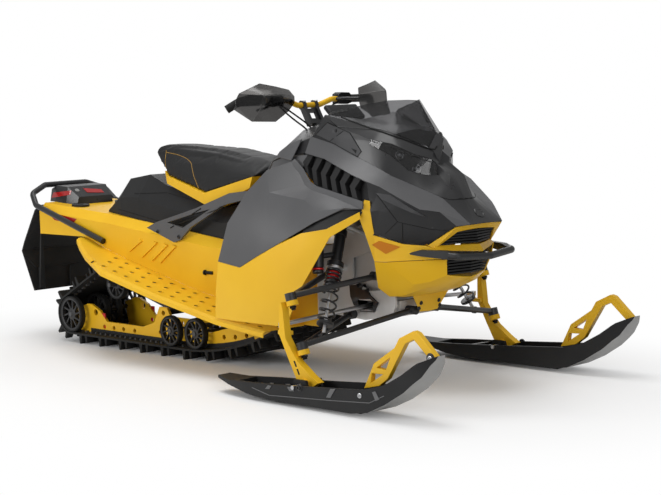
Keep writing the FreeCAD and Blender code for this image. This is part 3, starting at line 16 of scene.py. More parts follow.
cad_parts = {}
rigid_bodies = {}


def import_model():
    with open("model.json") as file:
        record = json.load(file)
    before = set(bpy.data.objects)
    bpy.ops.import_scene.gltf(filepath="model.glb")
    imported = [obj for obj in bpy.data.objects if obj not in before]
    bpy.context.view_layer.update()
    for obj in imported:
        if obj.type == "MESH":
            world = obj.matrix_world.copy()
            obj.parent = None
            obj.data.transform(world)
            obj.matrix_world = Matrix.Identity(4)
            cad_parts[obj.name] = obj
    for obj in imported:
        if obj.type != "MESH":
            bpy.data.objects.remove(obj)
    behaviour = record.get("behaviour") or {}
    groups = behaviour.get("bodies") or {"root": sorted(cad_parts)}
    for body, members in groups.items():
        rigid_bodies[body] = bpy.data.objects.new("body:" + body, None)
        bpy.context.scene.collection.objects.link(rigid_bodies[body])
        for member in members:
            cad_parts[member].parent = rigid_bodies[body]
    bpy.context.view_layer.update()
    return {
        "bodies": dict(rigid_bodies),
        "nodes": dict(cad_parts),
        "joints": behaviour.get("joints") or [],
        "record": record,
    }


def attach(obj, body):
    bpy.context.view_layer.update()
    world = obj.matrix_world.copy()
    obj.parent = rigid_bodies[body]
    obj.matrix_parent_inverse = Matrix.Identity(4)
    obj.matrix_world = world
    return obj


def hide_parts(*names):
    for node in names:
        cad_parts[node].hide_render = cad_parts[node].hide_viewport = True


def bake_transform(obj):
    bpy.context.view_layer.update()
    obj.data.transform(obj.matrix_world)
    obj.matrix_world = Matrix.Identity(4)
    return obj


LOG = logging.getLogger("snowmobile")
MM = 0.001
MIDDLE = (0.0, 0.0, 0.0)
ACROSS = Vector((0.0, 1.0, 0.0))
UPWARDS = Vector((0.0, 0.0, 1.0))
BMesh = bmesh.types.BMesh
Tree = bpy.types.NodeTree
Point = tuple[float, float, float]
Pixel = tuple[float, float]
Nodes = tuple[str, ...]
Line = Sequence[Pixel]


class Body(Enum):
    """The rigid bodies that pieces ride on."""

    CHASSIS = "chassis"
    STEERING = "steering"
    LEFT_SPINDLE = "left_spindle"
    RIGHT_SPINDLE = "right_spindle"
    LEFT_SKI = "left_ski"
    RIGHT_SKI = "right_ski"


# Shader nodes.

SOCKETS = {"Vector": "NodeSocketVector", "Colour": "NodeSocketColor", "Shade": "NodeSocketColor"}


def add_node(tree: Tree, kind: str, values: Optional[dict] = None, operation: str = "") -> bpy.types.Node:
    """Adds a shader node.

    Args:
        tree: The tree that gets it.
        kind: Its type, after ShaderNode.
        values: Values of its inputs, by name or number.
        operation: What a maths node does.

    Returns:
        The new node.
    """
    node = tree.nodes.new("ShaderNode" + kind)
    if operation:
        node.operation = operation
    for key, value in (values or {}).items():
        node.inputs[key].default_value = value
    return node


def link(tree: Tree, *pairs: tuple[bpy.types.NodeSocket, bpy.types.NodeSocket]) -> None:
    """Links pairs of sockets, each from an output to an input."""
    for source, target in pairs:
        tree.links.new(source, target)


def start_group(name: str, inputs: Nodes, output: str) -> tuple[Tree, dict, bpy.types.NodeSocket]:
    """Starts a shader node group.

    Args:
        name: The group's name.
        inputs: Names of its inputs.
        output: Name of its output.

    Returns:
        Its tree, its inputs by name and its output's socket.
    """
    tree = bpy.data.node_groups.new(name, "ShaderNodeTree")
    for socket in inputs:
        kind = SOCKETS.get(socket, "NodeSocketFloat")
        tree.interface.new_socket(name=socket, in_out="INPUT", socket_type=kind)
    kind = SOCKETS.get(output, "NodeSocketFloat")
    tree.interface.new_socket(name=output, in_out="OUTPUT", socket_type=kind)
    return tree, tree.nodes.new("NodeGroupInput").outputs, tree.nodes.new("NodeGroupOutput").inputs[output]


class Groups:
    """The shader node groups, built once and placed in each material."""

    def __init__(self) -> None:
        """Builds the three groups."""
        self.grain = self.grain_group()
        self.drift = self.drift_group()
        self.scuff = self.scuff_group()

    @staticmethod
    def grain_group() -> Tree:
        """Builds the group that gives the height of a fine moulded or cast grain.

        Returns:
            Its tree.
        """
        tree, ins, height = start_group("moulded_grain", ("Vector", "Scale"), "Height")
        noise = add_node(tree, "TexNoise", {"Detail": 3.0, "Roughness": 0.6})
        link(tree, (ins["Vector"], noise.inputs["Vector"]), (ins["Scale"], noise.inputs["Scale"]),
             (noise.outputs["Fac"], height))
        return tree

    @staticmethod
    def drift_group() -> Tree:
        """Builds the group that lets a colour drift a little over a surface.

        Returns:
            Its tree.
        """
        tree, ins, colour = start_group("colour_drift", ("Vector", "Colour", "Shade", "Amount"), "Colour")
        noise = add_node(tree, "TexNoise", {"Scale": 6.0, "Detail": 4.0})
        spread = add_node(tree, "MapRange", {"From Min": 0.35, "From Max": 0.7})
        scaled = add_node(tree, "Math", operation="MULTIPLY")
        mix = add_node(tree, "Mix")
        mix.data_type = "RGBA"
        link(tree, (ins["Vector"], noise.inputs["Vector"]), (noise.outputs["Fac"], spread.inputs["Value"]),
             (spread.outputs["Result"], scaled.inputs[0]), (ins["Amount"], scaled.inputs[1]),
             (scaled.outputs["Value"], mix.inputs["Factor"]), (ins["Colour"], mix.inputs[6]),
             (ins["Shade"], mix.inputs[7]), (mix.outputs[2], colour))
        return tree

    @staticmethod
    def scuff_group() -> Tree:
        """Builds the group that scatters fine scuffs, for gloss that varies.

        Returns:
            Its tree.
        """
        tree, ins, roughness = start_group("scuffed_gloss", ("Vector", "Base", "Spread"), "Roughness")
        noise = add_node(tree, "TexNoise", {"Scale": 18.0, "Detail": 6.0, "Roughness": 0.7})
        total = add_node(tree, "Math", operation="MULTIPLY_ADD")
        link(tree, (ins["Vector"], noise.inputs["Vector"]), (noise.outputs["Fac"], total.inputs[0]),
             (ins["Spread"], total.inputs[1]), (ins["Base"], total.inputs[2]),
             (total.outputs["Value"], roughness))
        return tree

    @staticmethod
    def use(tree: Tree, group: Tree, values: dict) -> bpy.types.Node:
        """Places a group in a material's tree.

        Args:
            tree: The material's tree.
            group: The group's tree.
            values: Values of the group's inputs.

        Returns:
            The new node.
        """
        node = add_node(tree, "Group")
        node.node_tree = group
        for key, value in values.items():
            node.inputs[key].default_value = value
        return node


COAT_ROUGHNESS = 0.06
GLASS_IOR = 1.46
GRAIN_STRENGTH = 0.6


@dataclass(frozen=True)
class Finish:
    """A surface finish on one Principled shader: a drifting colour, varied gloss and a fine grain.

    Attributes:
        name: The material's name.
        slot: The record's material slot; not used.
        colour: Base colour, linear; for glass, what it lets through.
        shade: The colour that it drifts towards.
        drift: How far it drifts, 0 to 1.
        roughness: Lowest roughness.
        spread: How much scuffs add to the roughness.
        metallic: Metallic, 0 to 1.
        coat: Weight of a clear coat.
        grain_scale: Grains per metre, roughly.
        grain_depth: Height of the grain in metres.
        specular: Specular level.
        sheen: Weight of a cloth's sheen.
        glass: True for a smooth sheet that is seen through.
    """

    name: str
    slot: str
    colour: Point
    shade: Point
    drift: float = 0.25
    roughness: float = 0.35
    spread: float = 0.12
    metallic: float = 0.0
    coat: float = 0.0
    grain_scale: float = 500.0
    grain_depth: float = 0.00003
    specular: float = 0.5
    sheen: float = 0.0
    glass: bool = False

    def build(self, groups: Groups) -> bpy.types.Material:
        """Makes the material.

        Args:
            groups: The shared node groups.

        Returns:
            The new material.
        """
        material = bpy.data.materials.new(self.name)
        material.use_nodes = True
        material.diffuse_color = (*self.colour, 1.0)
        tree = material.node_tree
        shader = tree.nodes["Principled BSDF"]
        for socket, value in (("Metallic", self.metallic), ("Specular IOR Level", self.specular),
                              ("Coat Weight", self.coat), ("Coat Roughness", COAT_ROUGHNESS),
                              ("Sheen Weight", self.sheen)):
            shader.inputs[socket].default_value = value
        place = add_node(tree, "TexCoord").outputs["Object"]
        colours = {"Colour": (*self.colour, 1.0), "Shade": (*self.shade, 1.0), "Amount": self.drift}
        drift = groups.use(tree, groups.drift, colours)
        scuff = groups.use(tree, groups.scuff, {"Base": self.roughness, "Spread": self.spread})
        link(tree, (place, drift.inputs["Vector"]), (place, scuff.inputs["Vector"]),
             (drift.outputs["Colour"], shader.inputs["Base Color"]),
             (scuff.outputs["Roughness"], shader.inputs["Roughness"]))
        if self.glass:
            shader.inputs["Transmission Weight"].default_value = 1.0
            shader.inputs["IOR"].default_value = GLASS_IOR
        else:
            grain = groups.use(tree, groups.grain, {"Scale": self.grain_scale})
            bump = add_node(tree, "Bump", {"Strength": GRAIN_STRENGTH, "Distance": self.grain_depth})
            link(tree, (place, grain.inputs["Vector"]), (grain.outputs["Height"], bump.inputs["Height"]),
                 (bump.outputs["Normal"], shader.inputs["Normal"]))
        return material


def grey(level: float) -> Point:
    """A neutral colour."""
    return (level, level, level)


YELLOW = (0.80, 0.47, 0.016)
YELLOW_SHADE = (0.70, 0.37, 0.010)

YELLOW_PANEL = Finish("yellow_panel", "yellow_gloss", YELLOW, YELLOW_SHADE, 0.3, 0.3, 0.1,
                      grain_depth=0.00001, specular=0.3)
YELLOW_PAINT = Finish("yellow_paint", "yellow_paint", YELLOW, YELLOW_SHADE, 0.45, 0.36, 0.14,
                      grain_depth=0.00002, specular=0.25)
BLACK_GLOSS = Finish("black_gloss", "black_gloss", (0.016, 0.016, 0.017), (0.026, 0.026, 0.027), 0.5, 0.24,
                     0.1, coat=0.12, grain_depth=0.000005, specular=0.4)
BLACK_PLASTIC = Finish("black_plastic", "black_plastic", (0.008, 0.008, 0.0085), grey(0.016), 0.5, 0.44, 0.18,
                       grain_depth=0.00006, specular=0.28)
GREY_PANEL = Finish("grey_panel", "grey_panel", (0.082, 0.082, 0.085), (0.06, 0.06, 0.063), 0.4, 0.36,
                    grain_depth=0.00002, specular=0.4)
DARK_PANEL = Finish("dark_panel", "grey_panel", (0.013, 0.013, 0.014), (0.009, 0.009, 0.0095), 0.4, 0.32,
                    grain_depth=0.00002, specular=0.35)
CONSOLE_PANEL = replace(DARK_PANEL, slot="black_plastic")
COVER_PANEL = Finish("cover_panel", "grey_panel", (0.04, 0.04, 0.042), (0.028, 0.028, 0.03), 0.4, 0.36,
                     grain_depth=0.00002, specular=0.35)
BLACK_PAINT = Finish("black_paint", "black_paint", (0.010, 0.010, 0.011), grey(0.02), 0.5, 0.32, 0.15)
SPRING_PAINT = Finish("spring_paint", "black_paint", (0.012, 0.012, 0.013), grey(0.03), 0.5, 0.22)
BARE_ALLOY = Finish("bare_alloy", "bare_alloy", (0.68, 0.67, 0.66), (0.5, 0.5, 0.49), 0.6, 0.4, 0.2,
                    metallic=0.2, grain_scale=900.0)
DARK_ALLOY = Finish("dark_alloy", "dark_alloy", (0.09, 0.09, 0.093), grey(0.05), 0.5, 0.4, 0.2,
                    metallic=0.4, grain_scale=700.0)
STEEL = Finish("steel", "bare_alloy", (0.55, 0.55, 0.56), (0.38, 0.38, 0.39), 0.5, 0.25, 0.2, metallic=1.0)
RED_ANODISED = Finish("red_anodised", "bare_alloy", (0.55, 0.01, 0.012), (0.38, 0.006, 0.008), 0.4, 0.25, 0.1,
                      metallic=0.3)
TRACK_RUBBER = Finish("track_rubber", "track_rubber", grey(0.010), (0.022, 0.022, 0.021), 0.6, 0.6, 0.25,
                      grain_scale=300.0, grain_depth=0.0003, specular=0.3)
WHEEL_PLASTIC = Finish("wheel_plastic", "wheel_plastic", (0.016, 0.016, 0.017), grey(0.03), 0.5, 0.4, 0.2,
                       grain_depth=0.00005)
SEAT_LEATHER = Finish("seat_leather", "seat_cover", (0.007, 0.007, 0.0075), (0.013, 0.013, 0.0135), 0.5, 0.52,
                      0.16, grain_scale=700.0, grain_depth=0.0002, specular=0.25, sheen=0.02)
THREAD = Finish("orange_thread", "seat_cover", (0.36, 0.2, 0.03), (0.25, 0.13, 0.02), 0.5, 0.6, 0.2,
                grain_scale=1500.0)
# Near-black rubber for real seals, cables, pegs, nuts and lamp backs, and also painted shade in the hood's
# creases, the drain holes, the spindle slots and the brace groove.
SEAL_AND_SHADE = Finish("rubber_seal_and_painted_shade", "black_plastic", grey(0.004), grey(0.008), 0.5, 0.5, 0.2, specular=0.25)
AMBER = Finish("amber_lens", "lamp_lens", (0.56, 0.19, 0.008), (0.45, 0.13, 0.005), 0.5, 0.25, 0.08,
               specular=0.2)
RED = Finish("red_lens", "lamp_lens", (0.40, 0.012, 0.012), (0.25, 0.006, 0.006), 0.4, 0.15, 0.08, coat=0.4)
PROJECTOR = Finish("projector_glass", "lamp_lens", (0.55, 0.56, 0.58), (0.3, 0.31, 0.33), 0.6, 0.04, 0.04,
                   metallic=0.7)
GAUGE_SCREEN = Finish("gauge_screen", "black_plastic", (0.008, 0.009, 0.011), (0.015, 0.016, 0.018), 0.5,
                      0.06, 0.05)
SKI_UNDERSIDE = Finish("ski_underside", "black_plastic", (0.27, 0.268, 0.262), (0.2, 0.198, 0.194), 0.5,
                       0.35, 0.15)
SKI_RIB = Finish("ski_rib", "black_plastic", (0.11, 0.11, 0.112), (0.08, 0.08, 0.082), 0.5, 0.4, 0.15)
SCREEN = Finish("smoked_screen", "smoked_plastic", (0.2, 0.2, 0.205), (0.15, 0.15, 0.155), 0.3, 0.03, 0.05,
                glass=True)
GUARD_SHELL = Finish("smoked_guard", "smoked_plastic", (0.07, 0.068, 0.066), (0.045, 0.042, 0.04), 0.3, 0.08,
                     0.06, glass=True)
CLEAR_LENS = Finish("clear_lens", "lamp_lens", (0.3, 0.3, 0.305), (0.24, 0.24, 0.245), 0.3, 0.01, 0.02,
                    glass=True)


JOIN_DISTANCE = 2e-5
FLAT_ANGLE = 0.8


@dataclass
class Workshop:
    """What every sub-assembly needs: the frame, the materials and ways to make a piece.

    Attributes:
        groups: The shared node groups.
    """

    frame: dict
    groups: Groups

    def __post_init__(self) -> None:
        """Starts with no material made."""
        self.materials: dict[str, bpy.types.Material] = {}

    def material(self, finish: Finish) -> bpy.types.Material:
        """Gives a finish's material, built at its first use.

        Args:
            finish: The finish.

        Returns:
            Its material.
        """
        if finish.name not in self.materials:
            self.materials[finish.name] = finish.build(self.groups)
        return self.materials[finish.name]

    def paint(self, node: str, finish: Finish) -> None:
        """Puts a finish on a CAD node.

        Args:
            node: The node's name.
            finish: Its finish.
        """
        mesh = self.frame["nodes"][node].data
        mesh.materials.clear()
        mesh.materials.append(self.material(finish))
        LOG.info("finish %s on %s", finish.name, node)

    def piece(self, name: str, bm: BMesh, finish: Finish, body: Optional[Body] = Body.CHASSIS,
              smooth: Optional[float] = 35.0, replaces: Nodes = ()) -> bpy.types.Object:
        """Turns a bmesh into a piece that rides on a body.

        Args:
            name: The piece's name.
            bm: Its mesh, which is freed.
            finish: Its finish.
            body: The body it rides on; None leaves it on no body.
            smooth: Edges that fold by more degrees stay sharp; None leaves all faces flat.
            replaces: CAD nodes that it stands for.

        Returns:
            The new object.
        """
        if smooth is not None:
            for face in bm.faces:
                face.smooth = True
            for edge in bm.edges:
                edge.smooth = edge.calc_face_angle(math.pi) < math.radians(smooth)
        mesh = bpy.data.meshes.new(name)
        bm.to_mesh(mesh)
        bm.free()
        mesh.materials.append(self.material(finish))
        piece = bpy.data.objects.new(name, mesh)
        bpy.context.scene.collection.objects.link(piece)
        if body is not None:
            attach(piece, body.value)
        if replaces:
            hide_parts(*replaces)
        LOG.info("piece %s with %d faces", name, len(mesh.polygons))
        return piece

    def copied(self, node: str) -> BMesh:
        """Copies a CAD node's mesh with its loose triangles joined.

        Args:
            node: The node's name.

        Returns:
            A closed mesh whose flat faces are whole.
        """
        bm = bmesh.new()
        bm.from_mesh(self.frame["nodes"][node].data)
        bmesh.ops.remove_doubles(bm, verts=bm.verts, dist=JOIN_DISTANCE)
        bmesh.ops.dissolve_limit(bm, angle_limit=math.radians(FLAT_ANGLE), verts=bm.verts, edges=bm.edges)
        return bm

    def softened(self, node: str, finish: Finish, smooth: float = 30.0, body: Body = Body.CHASSIS,
                 round_off: float = 1.4) -> bpy.types.Object:
        """Replaces a rigid CAD node by its own shape with rounded edges.

        Args:
            node: The node's name.
            finish: The finish.
            smooth: Folds of fewer degrees are shaded as one curved surface.
            body: The body it rides on.
            round_off: Width of the rounding in millimetres.

        Returns:
            The new object.
        """
        piece = self.piece(node + "_panel", self.copied(node), finish, body, smooth, (node,))
        bevel = piece.modifiers.new("rounded_edges", "BEVEL")
        bevel.width = round_off * MM
        bevel.segments = 2
        bevel.limit_method = "ANGLE"
        bevel.angle_limit = math.radians(smooth)
        bevel.harden_normals = True
        return piece


# Camera and studio.


@dataclass
class Camera:
    """The camera at the photograph's viewing angle.

    Attributes:
        azimuth: Degrees round from looking along +Y.
        elevation: Degrees above the horizon.
        roll: Degrees that the view leans.
        target: The point at the middle of the view.
        distance: From the target, in metres.
        lens: Focal length in millimetres.
        sensor: Width of the sensor in millimetres.
    """

    azimuth: float = 45.945
    elevation: float = 5.595
    roll: float = -1.766
    target: Point = (0.3978, 0.0, 0.4868)
    distance: float = 6.402
    lens: float = 89.1
    sensor: float = 36.0

    def axes(self) -> tuple[Vector, Vector, Vector]:
        """Finds the way the camera looks.

        Returns:
            Its right, up and backward directions.
        """
        degrees = (self.azimuth, self.elevation, self.roll)
        azimuth, elevation, roll = (math.radians(angle) for angle in degrees)
        back = Vector((math.sin(azimuth) * math.cos(elevation), -math.cos(azimuth) * math.cos(elevation),
                       math.sin(elevation)))
        right = Vector((math.cos(azimuth), math.sin(azimuth), 0.0))
        up = back.cross(right)
        turned_right = right * math.cos(roll) + up * math.sin(roll)
        turned_up = up * math.cos(roll) - right * math.sin(roll)
        return turned_right, turned_up, back

    def build(self) -> None:
        """Makes the camera and looks through it."""
        right, up, back = self.axes()
        data = bpy.data.cameras.new("view")
        data.lens = self.lens
        data.sensor_width = self.sensor
        camera = bpy.data.objects.new("view", data)
        bpy.context.scene.collection.objects.link(camera)
        place = Vector(self.target) + back * self.distance
        turn = Matrix((right, up, back)).transposed()
        camera.matrix_world = Matrix.Translation(place) @ turn.to_4x4()
        bpy.context.scene.camera = camera


@dataclass
class Sight:
    """Finds where a pixel of the photograph falls on the object.

    Attributes:
        shop: The workshop, for the frame's meshes.
        camera: The camera at the photograph's angle.
        width: Width of the photograph in pixels.
        height: Its height.
        ceiling: A height in metres over all of the object.
    """

    shop: Workshop
    camera: Camera
    width: float = 661.0
    height: float = 495.0
    ceiling: float = 3.0

    def __post_init__(self) -> None:
        """Starts with no search tree made."""
        self.trees: dict[Nodes, BVHTree] = {}

    def tree(self, nodes: Nodes) -> BVHTree:
        """Gives the search tree of some CAD nodes together, built at its first use.

        Args:
            nodes: The nodes' names.

        Returns:
            Their tree.
        """
        if nodes not in self.trees:
            bm = bmesh.new()
            for node in nodes:
                bm.from_mesh(self.shop.frame["nodes"][node].data)
            self.trees[nodes] = BVHTree.FromBMesh(bm)
            bm.free()
        return self.trees[nodes]

    def hit(self, nodes: Nodes, pixel: Pixel) -> tuple[Vector, Vector]:
        """Finds the first place on some nodes that a pixel shows.

        Args:
            nodes: The nodes' names.
            pixel: The column and row in the photograph.

        Returns:
            The place and the outward normal there.
        """
        right, up, back = self.camera.axes()
        eye = Vector(self.camera.target) + back * self.camera.distance
        scale = self.camera.sensor / self.width
        across = (pixel[0] - self.width / 2) * scale
        above = (self.height / 2 - pixel[1]) * scale
        ray = (right * across + up * above - back * self.camera.lens).normalized()
        place, normal, _, _ = self.tree(nodes).ray_cast(eye, ray)
        if place is None:
            LOG.info("pixel %.0f %.0f is beside %s", *pixel, nodes[0])
            place, normal, _, _ = self.tree(nodes).find_nearest(eye + ray * self.camera.distance)
        return place, -normal if normal.dot(ray) > 0 else normal

    def drop(self, nodes: Nodes, x: float, y: float) -> tuple[Vector, Vector]:
        """Finds the highest place of some nodes over a point of the floor, and its normal."""
        place, normal, _, _ = self.tree(nodes).ray_cast(Vector((x, y, self.ceiling)), -UPWARDS)
        return place, -normal if normal.z < 0 else normal

    def trace(self, nodes: Nodes, line: Line, step: float = 2.0, lift: float = 0.0) -> list[Vector]:
        """Follows a line of pixels over the nodes' surface.

        Args:
            nodes: The nodes' names.
            line: The line's corners in the photograph.
            step: Pixels from one place to the next.
            lift: Millimetres that the line stands off the surface.

        Returns:
            Places along the line.
        """
        places = []
        for (c0, r0), (c1, r1) in zip(line, line[1:]):
            count = max(1, round(math.hypot(c1 - c0, r1 - r0) / step))
            for number in range(1 if places else 0, count + 1):
                share = number / count
                place, normal = self.hit(nodes, (c0 + (c1 - c0) * share, r0 + (r1 - r0) * share))
                places.append(place + normal * lift * MM)
        return places


@dataclass
class SoftLamp:
    """One large soft lamp.

    Attributes:
        name: The lamp's name.
        place: Where it hangs.
        size: Width and height in metres.
        power: In watts.
    """

    name: str
    place: Point
    size: tuple[float, float]
    power: float

    def build(self, aim: Vector) -> None:
        """Hangs the lamp and aims it.

        Args:
            aim: The point that it faces.
        """
        data = bpy.data.lights.new(self.name, "AREA")
        data.shape = "RECTANGLE"
        data.size, data.size_y = self.size
        data.energy = self.power
        lamp = bpy.data.objects.new(self.name, data)
        lamp.location = self.place
        lamp.rotation_euler = (aim - Vector(self.place)).to_track_quat("-Z", "Y").to_euler()
        bpy.context.scene.collection.objects.link(lamp)


@dataclass
class Studio:
    """A pale floor and plain soft light.

    Attributes:
        floor_size: Side of the floor in metres.
        fade_start: Where the floor begins to fade to white, from the middle.
        fade_end: Where it is all white.
        narrowing: How much less the fade's reach counts along x.
        ambient: Strength of the white surroundings on the object.
        mirrored: Share of the white surroundings that gloss shows.
        aim: The point that all lamps face.
    """

    floor_size: float = 60.0
    fade_start: float = 0.65
    fade_end: float = 1.55
    narrowing: float = 0.62
    ambient: float = 0.32
    mirrored: float = 0.25
    aim: Point = (0.1, 0.0, 0.4)
    FLOOR_GREY, FLOOR_ROUGHNESS, FLOOR_SPECULAR = 0.93, 0.8, 0.15
    LAMPS = (
        SoftLamp("overhead", (-0.2, -0.4, 4.6), (4.0, 2.4), 120.0),
        SoftLamp("front_right", (4.4, -2.0, 2.2), (2.0, 1.4), 26.0),
        SoftLamp("flank", (-1.2, -5.2, 2.2), (3.4, 1.6), 120.0),
        SoftLamp("behind", (-3.6, 3.8, 3.0), (3.0, 2.0), 45.0),
    )

    def build(self) -> None:
        """Lays the floor, hangs the lamps and sets the surroundings."""
        bpy.context.scene.view_settings.view_transform = "Standard"
        self.lay_floor()
        self.set_surroundings()
        for lamp in self.LAMPS:
            lamp.build(Vector(self.aim))

    def lay_floor(self) -> None:
        bm = bmesh.new()
        bmesh.ops.create_grid(bm, x_segments=1, y_segments=1, size=self.floor_size / 2)
        bmesh.ops.translate(bm, verts=bm.verts, vec=(0.0, 0.0, -0.5 * MM))
        mesh = bpy.data.meshes.new("floor")
        bm.to_mesh(mesh)
        bm.free()
        floor = bpy.data.objects.new("floor", mesh)
        bpy.context.scene.collection.objects.link(floor)
        mesh.materials.append(self.floor_material())

    def floor_material(self) -> bpy.types.Material:
        """Makes the pale floor's material, which fades to white far away.

        Returns:
            The new material.
        """
        material = bpy.data.materials.new("pale_floor")
        material.use_nodes = True
        tree = material.node_tree
        shader = tree.nodes["Principled BSDF"]
        shader.inputs["Base Color"].default_value = (*grey(self.FLOOR_GREY), 1.0)
        shader.inputs["Roughness"].default_value = self.FLOOR_ROUGHNESS
        shader.inputs["Specular IOR Level"].default_value = self.FLOOR_SPECULAR
        white = add_node(tree, "Emission", {"Strength": 1.0})
        place = add_node(tree, "TexCoord")
        narrowed = add_node(tree, "VectorMath", {1: (self.narrowing, 1.0, 1.0)}, "MULTIPLY")
        reach = add_node(tree, "VectorMath", operation="LENGTH")
        fade = add_node(tree, "MapRange", {"From Min": self.fade_start, "From Max": self.fade_end})
        fade.interpolation_type = "SMOOTHSTEP"
        shown = add_node(tree, "Math", operation="MULTIPLY")
        mix = add_node(tree, "MixShader")
        link(tree, (place.outputs["Object"], narrowed.inputs[0]),
             (narrowed.outputs["Vector"], reach.inputs[0]), (reach.outputs["Value"], fade.inputs["Value"]),
             (fade.outputs["Result"], shown.inputs[0]),
             (self.seen(tree), shown.inputs[1]), (shown.outputs["Value"], mix.inputs["Fac"]),
             (shader.outputs["BSDF"], mix.inputs[1]), (white.outputs["Emission"], mix.inputs[2]),
             (mix.outputs["Shader"], tree.nodes["Material Output"].inputs["Surface"]))
        return material

    def seen(self, tree: Tree) -> bpy.types.NodeSocket:
        """Adds the nodes that tell which rays see plain white.

        Args:
            tree: The material's or the world's tree.

        Returns:
            A socket: 1 to the eye and through glass, the mirrored share in gloss, else 0.
        """
        path = add_node(tree, "LightPath").outputs
        gloss = add_node(tree, "Math", {1: self.mirrored}, "MULTIPLY")
        seen = add_node(tree, "Math", operation="MAXIMUM")
        through = add_node(tree, "Math", operation="MAXIMUM")
        link(tree, (path["Is Glossy Ray"], gloss.inputs[0]), (path["Is Camera Ray"], seen.inputs[0]),
             (gloss.outputs["Value"], seen.inputs[1]), (seen.outputs["Value"], through.inputs[0]),
             (path["Is Transmission Ray"], through.inputs[1]))
        return through.outputs["Value"]

    def set_surroundings(self) -> None:
        """White to the eye, in gloss and through glass; a plain grey light on the object."""
        world = bpy.data.worlds.new("surroundings")
        bpy.context.scene.world = world
        world.use_nodes = True
        tree = world.node_tree
        tree.nodes.clear()
        plain = add_node(tree, "Background", {"Color": (1.0, 1.0, 1.0, 1.0), "Strength": self.ambient})
        white = add_node(tree, "Background", {"Color": (1.0, 1.0, 1.0, 1.0)})
        mix = add_node(tree, "MixShader")
        link(tree, (self.seen(tree), mix.inputs["Fac"]), (plain.outputs["Background"], mix.inputs[1]),
             (white.outputs["Background"], mix.inputs[2]),
             (mix.outputs["Shader"], add_node(tree, "OutputWorld").inputs["Surface"]))


# Forms that more than one sub-assembly uses. Radii, profiles and sizes are in millimetres.


def faces_outwards(bm: BMesh) -> BMesh:
    """Merges doubled corners and points every face outwards.

    Args:
        bm: The mesh.

    Returns:
        The same mesh.
    """
    bmesh.ops.remove_doubles(bm, verts=bm.verts, dist=1e-6)
    bmesh.ops.recalc_face_normals(bm, faces=bm.faces)
    return bm


def both_sides(bm: BMesh) -> BMesh:
    """Adds the mirror image of everything in a mesh, across the middle of the vehicle.

    Args:
        bm: The mesh.

    Returns:
        The same mesh.
    """
    everything = bm.verts[:] + bm.edges[:] + bm.faces[:]
    bmesh.ops.mirror(bm, geom=everything, matrix=Matrix.Identity(4), merge_dist=-1.0, axis="Y")
    bmesh.ops.recalc_face_normals(bm, faces=bm.faces)
    return bm


def other_side(bm: BMesh) -> BMesh:
    """Copies a mesh to the other side of the vehicle.

    Args:
        bm: The mesh.

    Returns:
        The copy.
    """
    copy = bm.copy()
    bmesh.ops.scale(copy, vec=(1.0, -1.0, 1.0), verts=copy.verts)
    bmesh.ops.reverse_faces(copy, faces=copy.faces)
    return copy


def millimetres(x: float, y: float, z: float) -> Vector:
    """A place given in millimetres."""
    return Vector((x, y, z)) * MM


def turned_to(place: Vector, axis: Vector) -> Matrix:
    """A placing that stands a form's z along an axis at a place."""
    turn = UPWARDS.rotation_difference(axis.normalized())
    return Matrix.Translation(place) @ turn.to_matrix().to_4x4()


def add_lathe(bm: BMesh, profile: Sequence[tuple[float, float]], place: Vector, axis: Vector,
              steps: int = 24) -> None:
    """Adds a turned form.

    Args:
        bm: The mesh.
        profile: Points (radius, height), closed on itself or by the axis.
        place: Where height 0 is.
        axis: The axis that the form turns about.
        steps: Sides of the turned form.
    """
    before = set(bm.verts)
    verts = [bm.verts.new((radius * MM, 0.0, height * MM)) for radius, height in profile]
    edges = [bm.edges.new(pair) for pair in zip(verts, verts[1:])]
    bmesh.ops.spin(bm, geom=verts + edges, cent=MIDDLE, axis=UPWARDS, angle=math.tau, steps=steps,
                   use_merge=True)
    made = [vert for vert in bm.verts if vert not in before]
    bmesh.ops.transform(bm, matrix=turned_to(place, axis), verts=made)


def add_sweep(bm: BMesh, route: Sequence[Vector], radius: float, sides: int = 6) -> None:
    """Adds a round bar by extruding a disc along a route.

    Args:
        bm: The mesh.
        route: The places that it passes.
        radius: Radius of the bar.
        sides: Sides of its section.
    """
    runs = [(after - before).normalized() for before, after in zip(route, route[1:])]
    headings = [runs[0]] + [(a + b).normalized() for a, b in zip(runs, runs[1:])] + [runs[-1]]
    disc = bmesh.ops.create_circle(bm, cap_ends=True, radius=radius * MM, segments=sides,
                                   matrix=turned_to(route[0], headings[0]))
    face = disc["verts"][0].link_faces[0]
    for index in range(1, len(route)):
        made = bmesh.ops.extrude_face_region(bm, geom=[face])["geom"]
        verts = [item for item in made if isinstance(item, bmesh.types.BMVert)]
        if index > 1:
            bmesh.ops.delete(bm, geom=[face], context="FACES_ONLY")
        face = [item for item in made if isinstance(item, bmesh.types.BMFace)][0]
        bmesh.ops.translate(bm, verts=verts, vec=route[index] - route[index - 1])
        turn = headings[index - 1].rotation_difference(headings[index])
        bmesh.ops.rotate(bm, cent=route[index], matrix=turn.to_matrix(), verts=verts)


def smooth_route(points: Sequence[Vector], steps: int = 6) -> list[Vector]:
    """Rounds a route: a smooth line through all its points.

    Args:
        points: The points.
        steps: Places from one point to the next.

    Returns:
        Places along the line.
    """
    padded = [points[0]] + list(points) + [points[-1]]
    places = []
    for p0, p1, p2, p3 in zip(padded, padded[1:], padded[2:], padded[3:]):
        for number in range(steps):
            t = number / steps
            places.append(0.5 * (2 * p1 + (p2 - p0) * t + (2 * p0 - 5 * p1 + 4 * p2 - p3) * t ** 2
                                 + (3 * p1 - p0 - 3 * p2 + p3) * t ** 3))
    return places + [points[-1]]


COIL_STEPS = 18


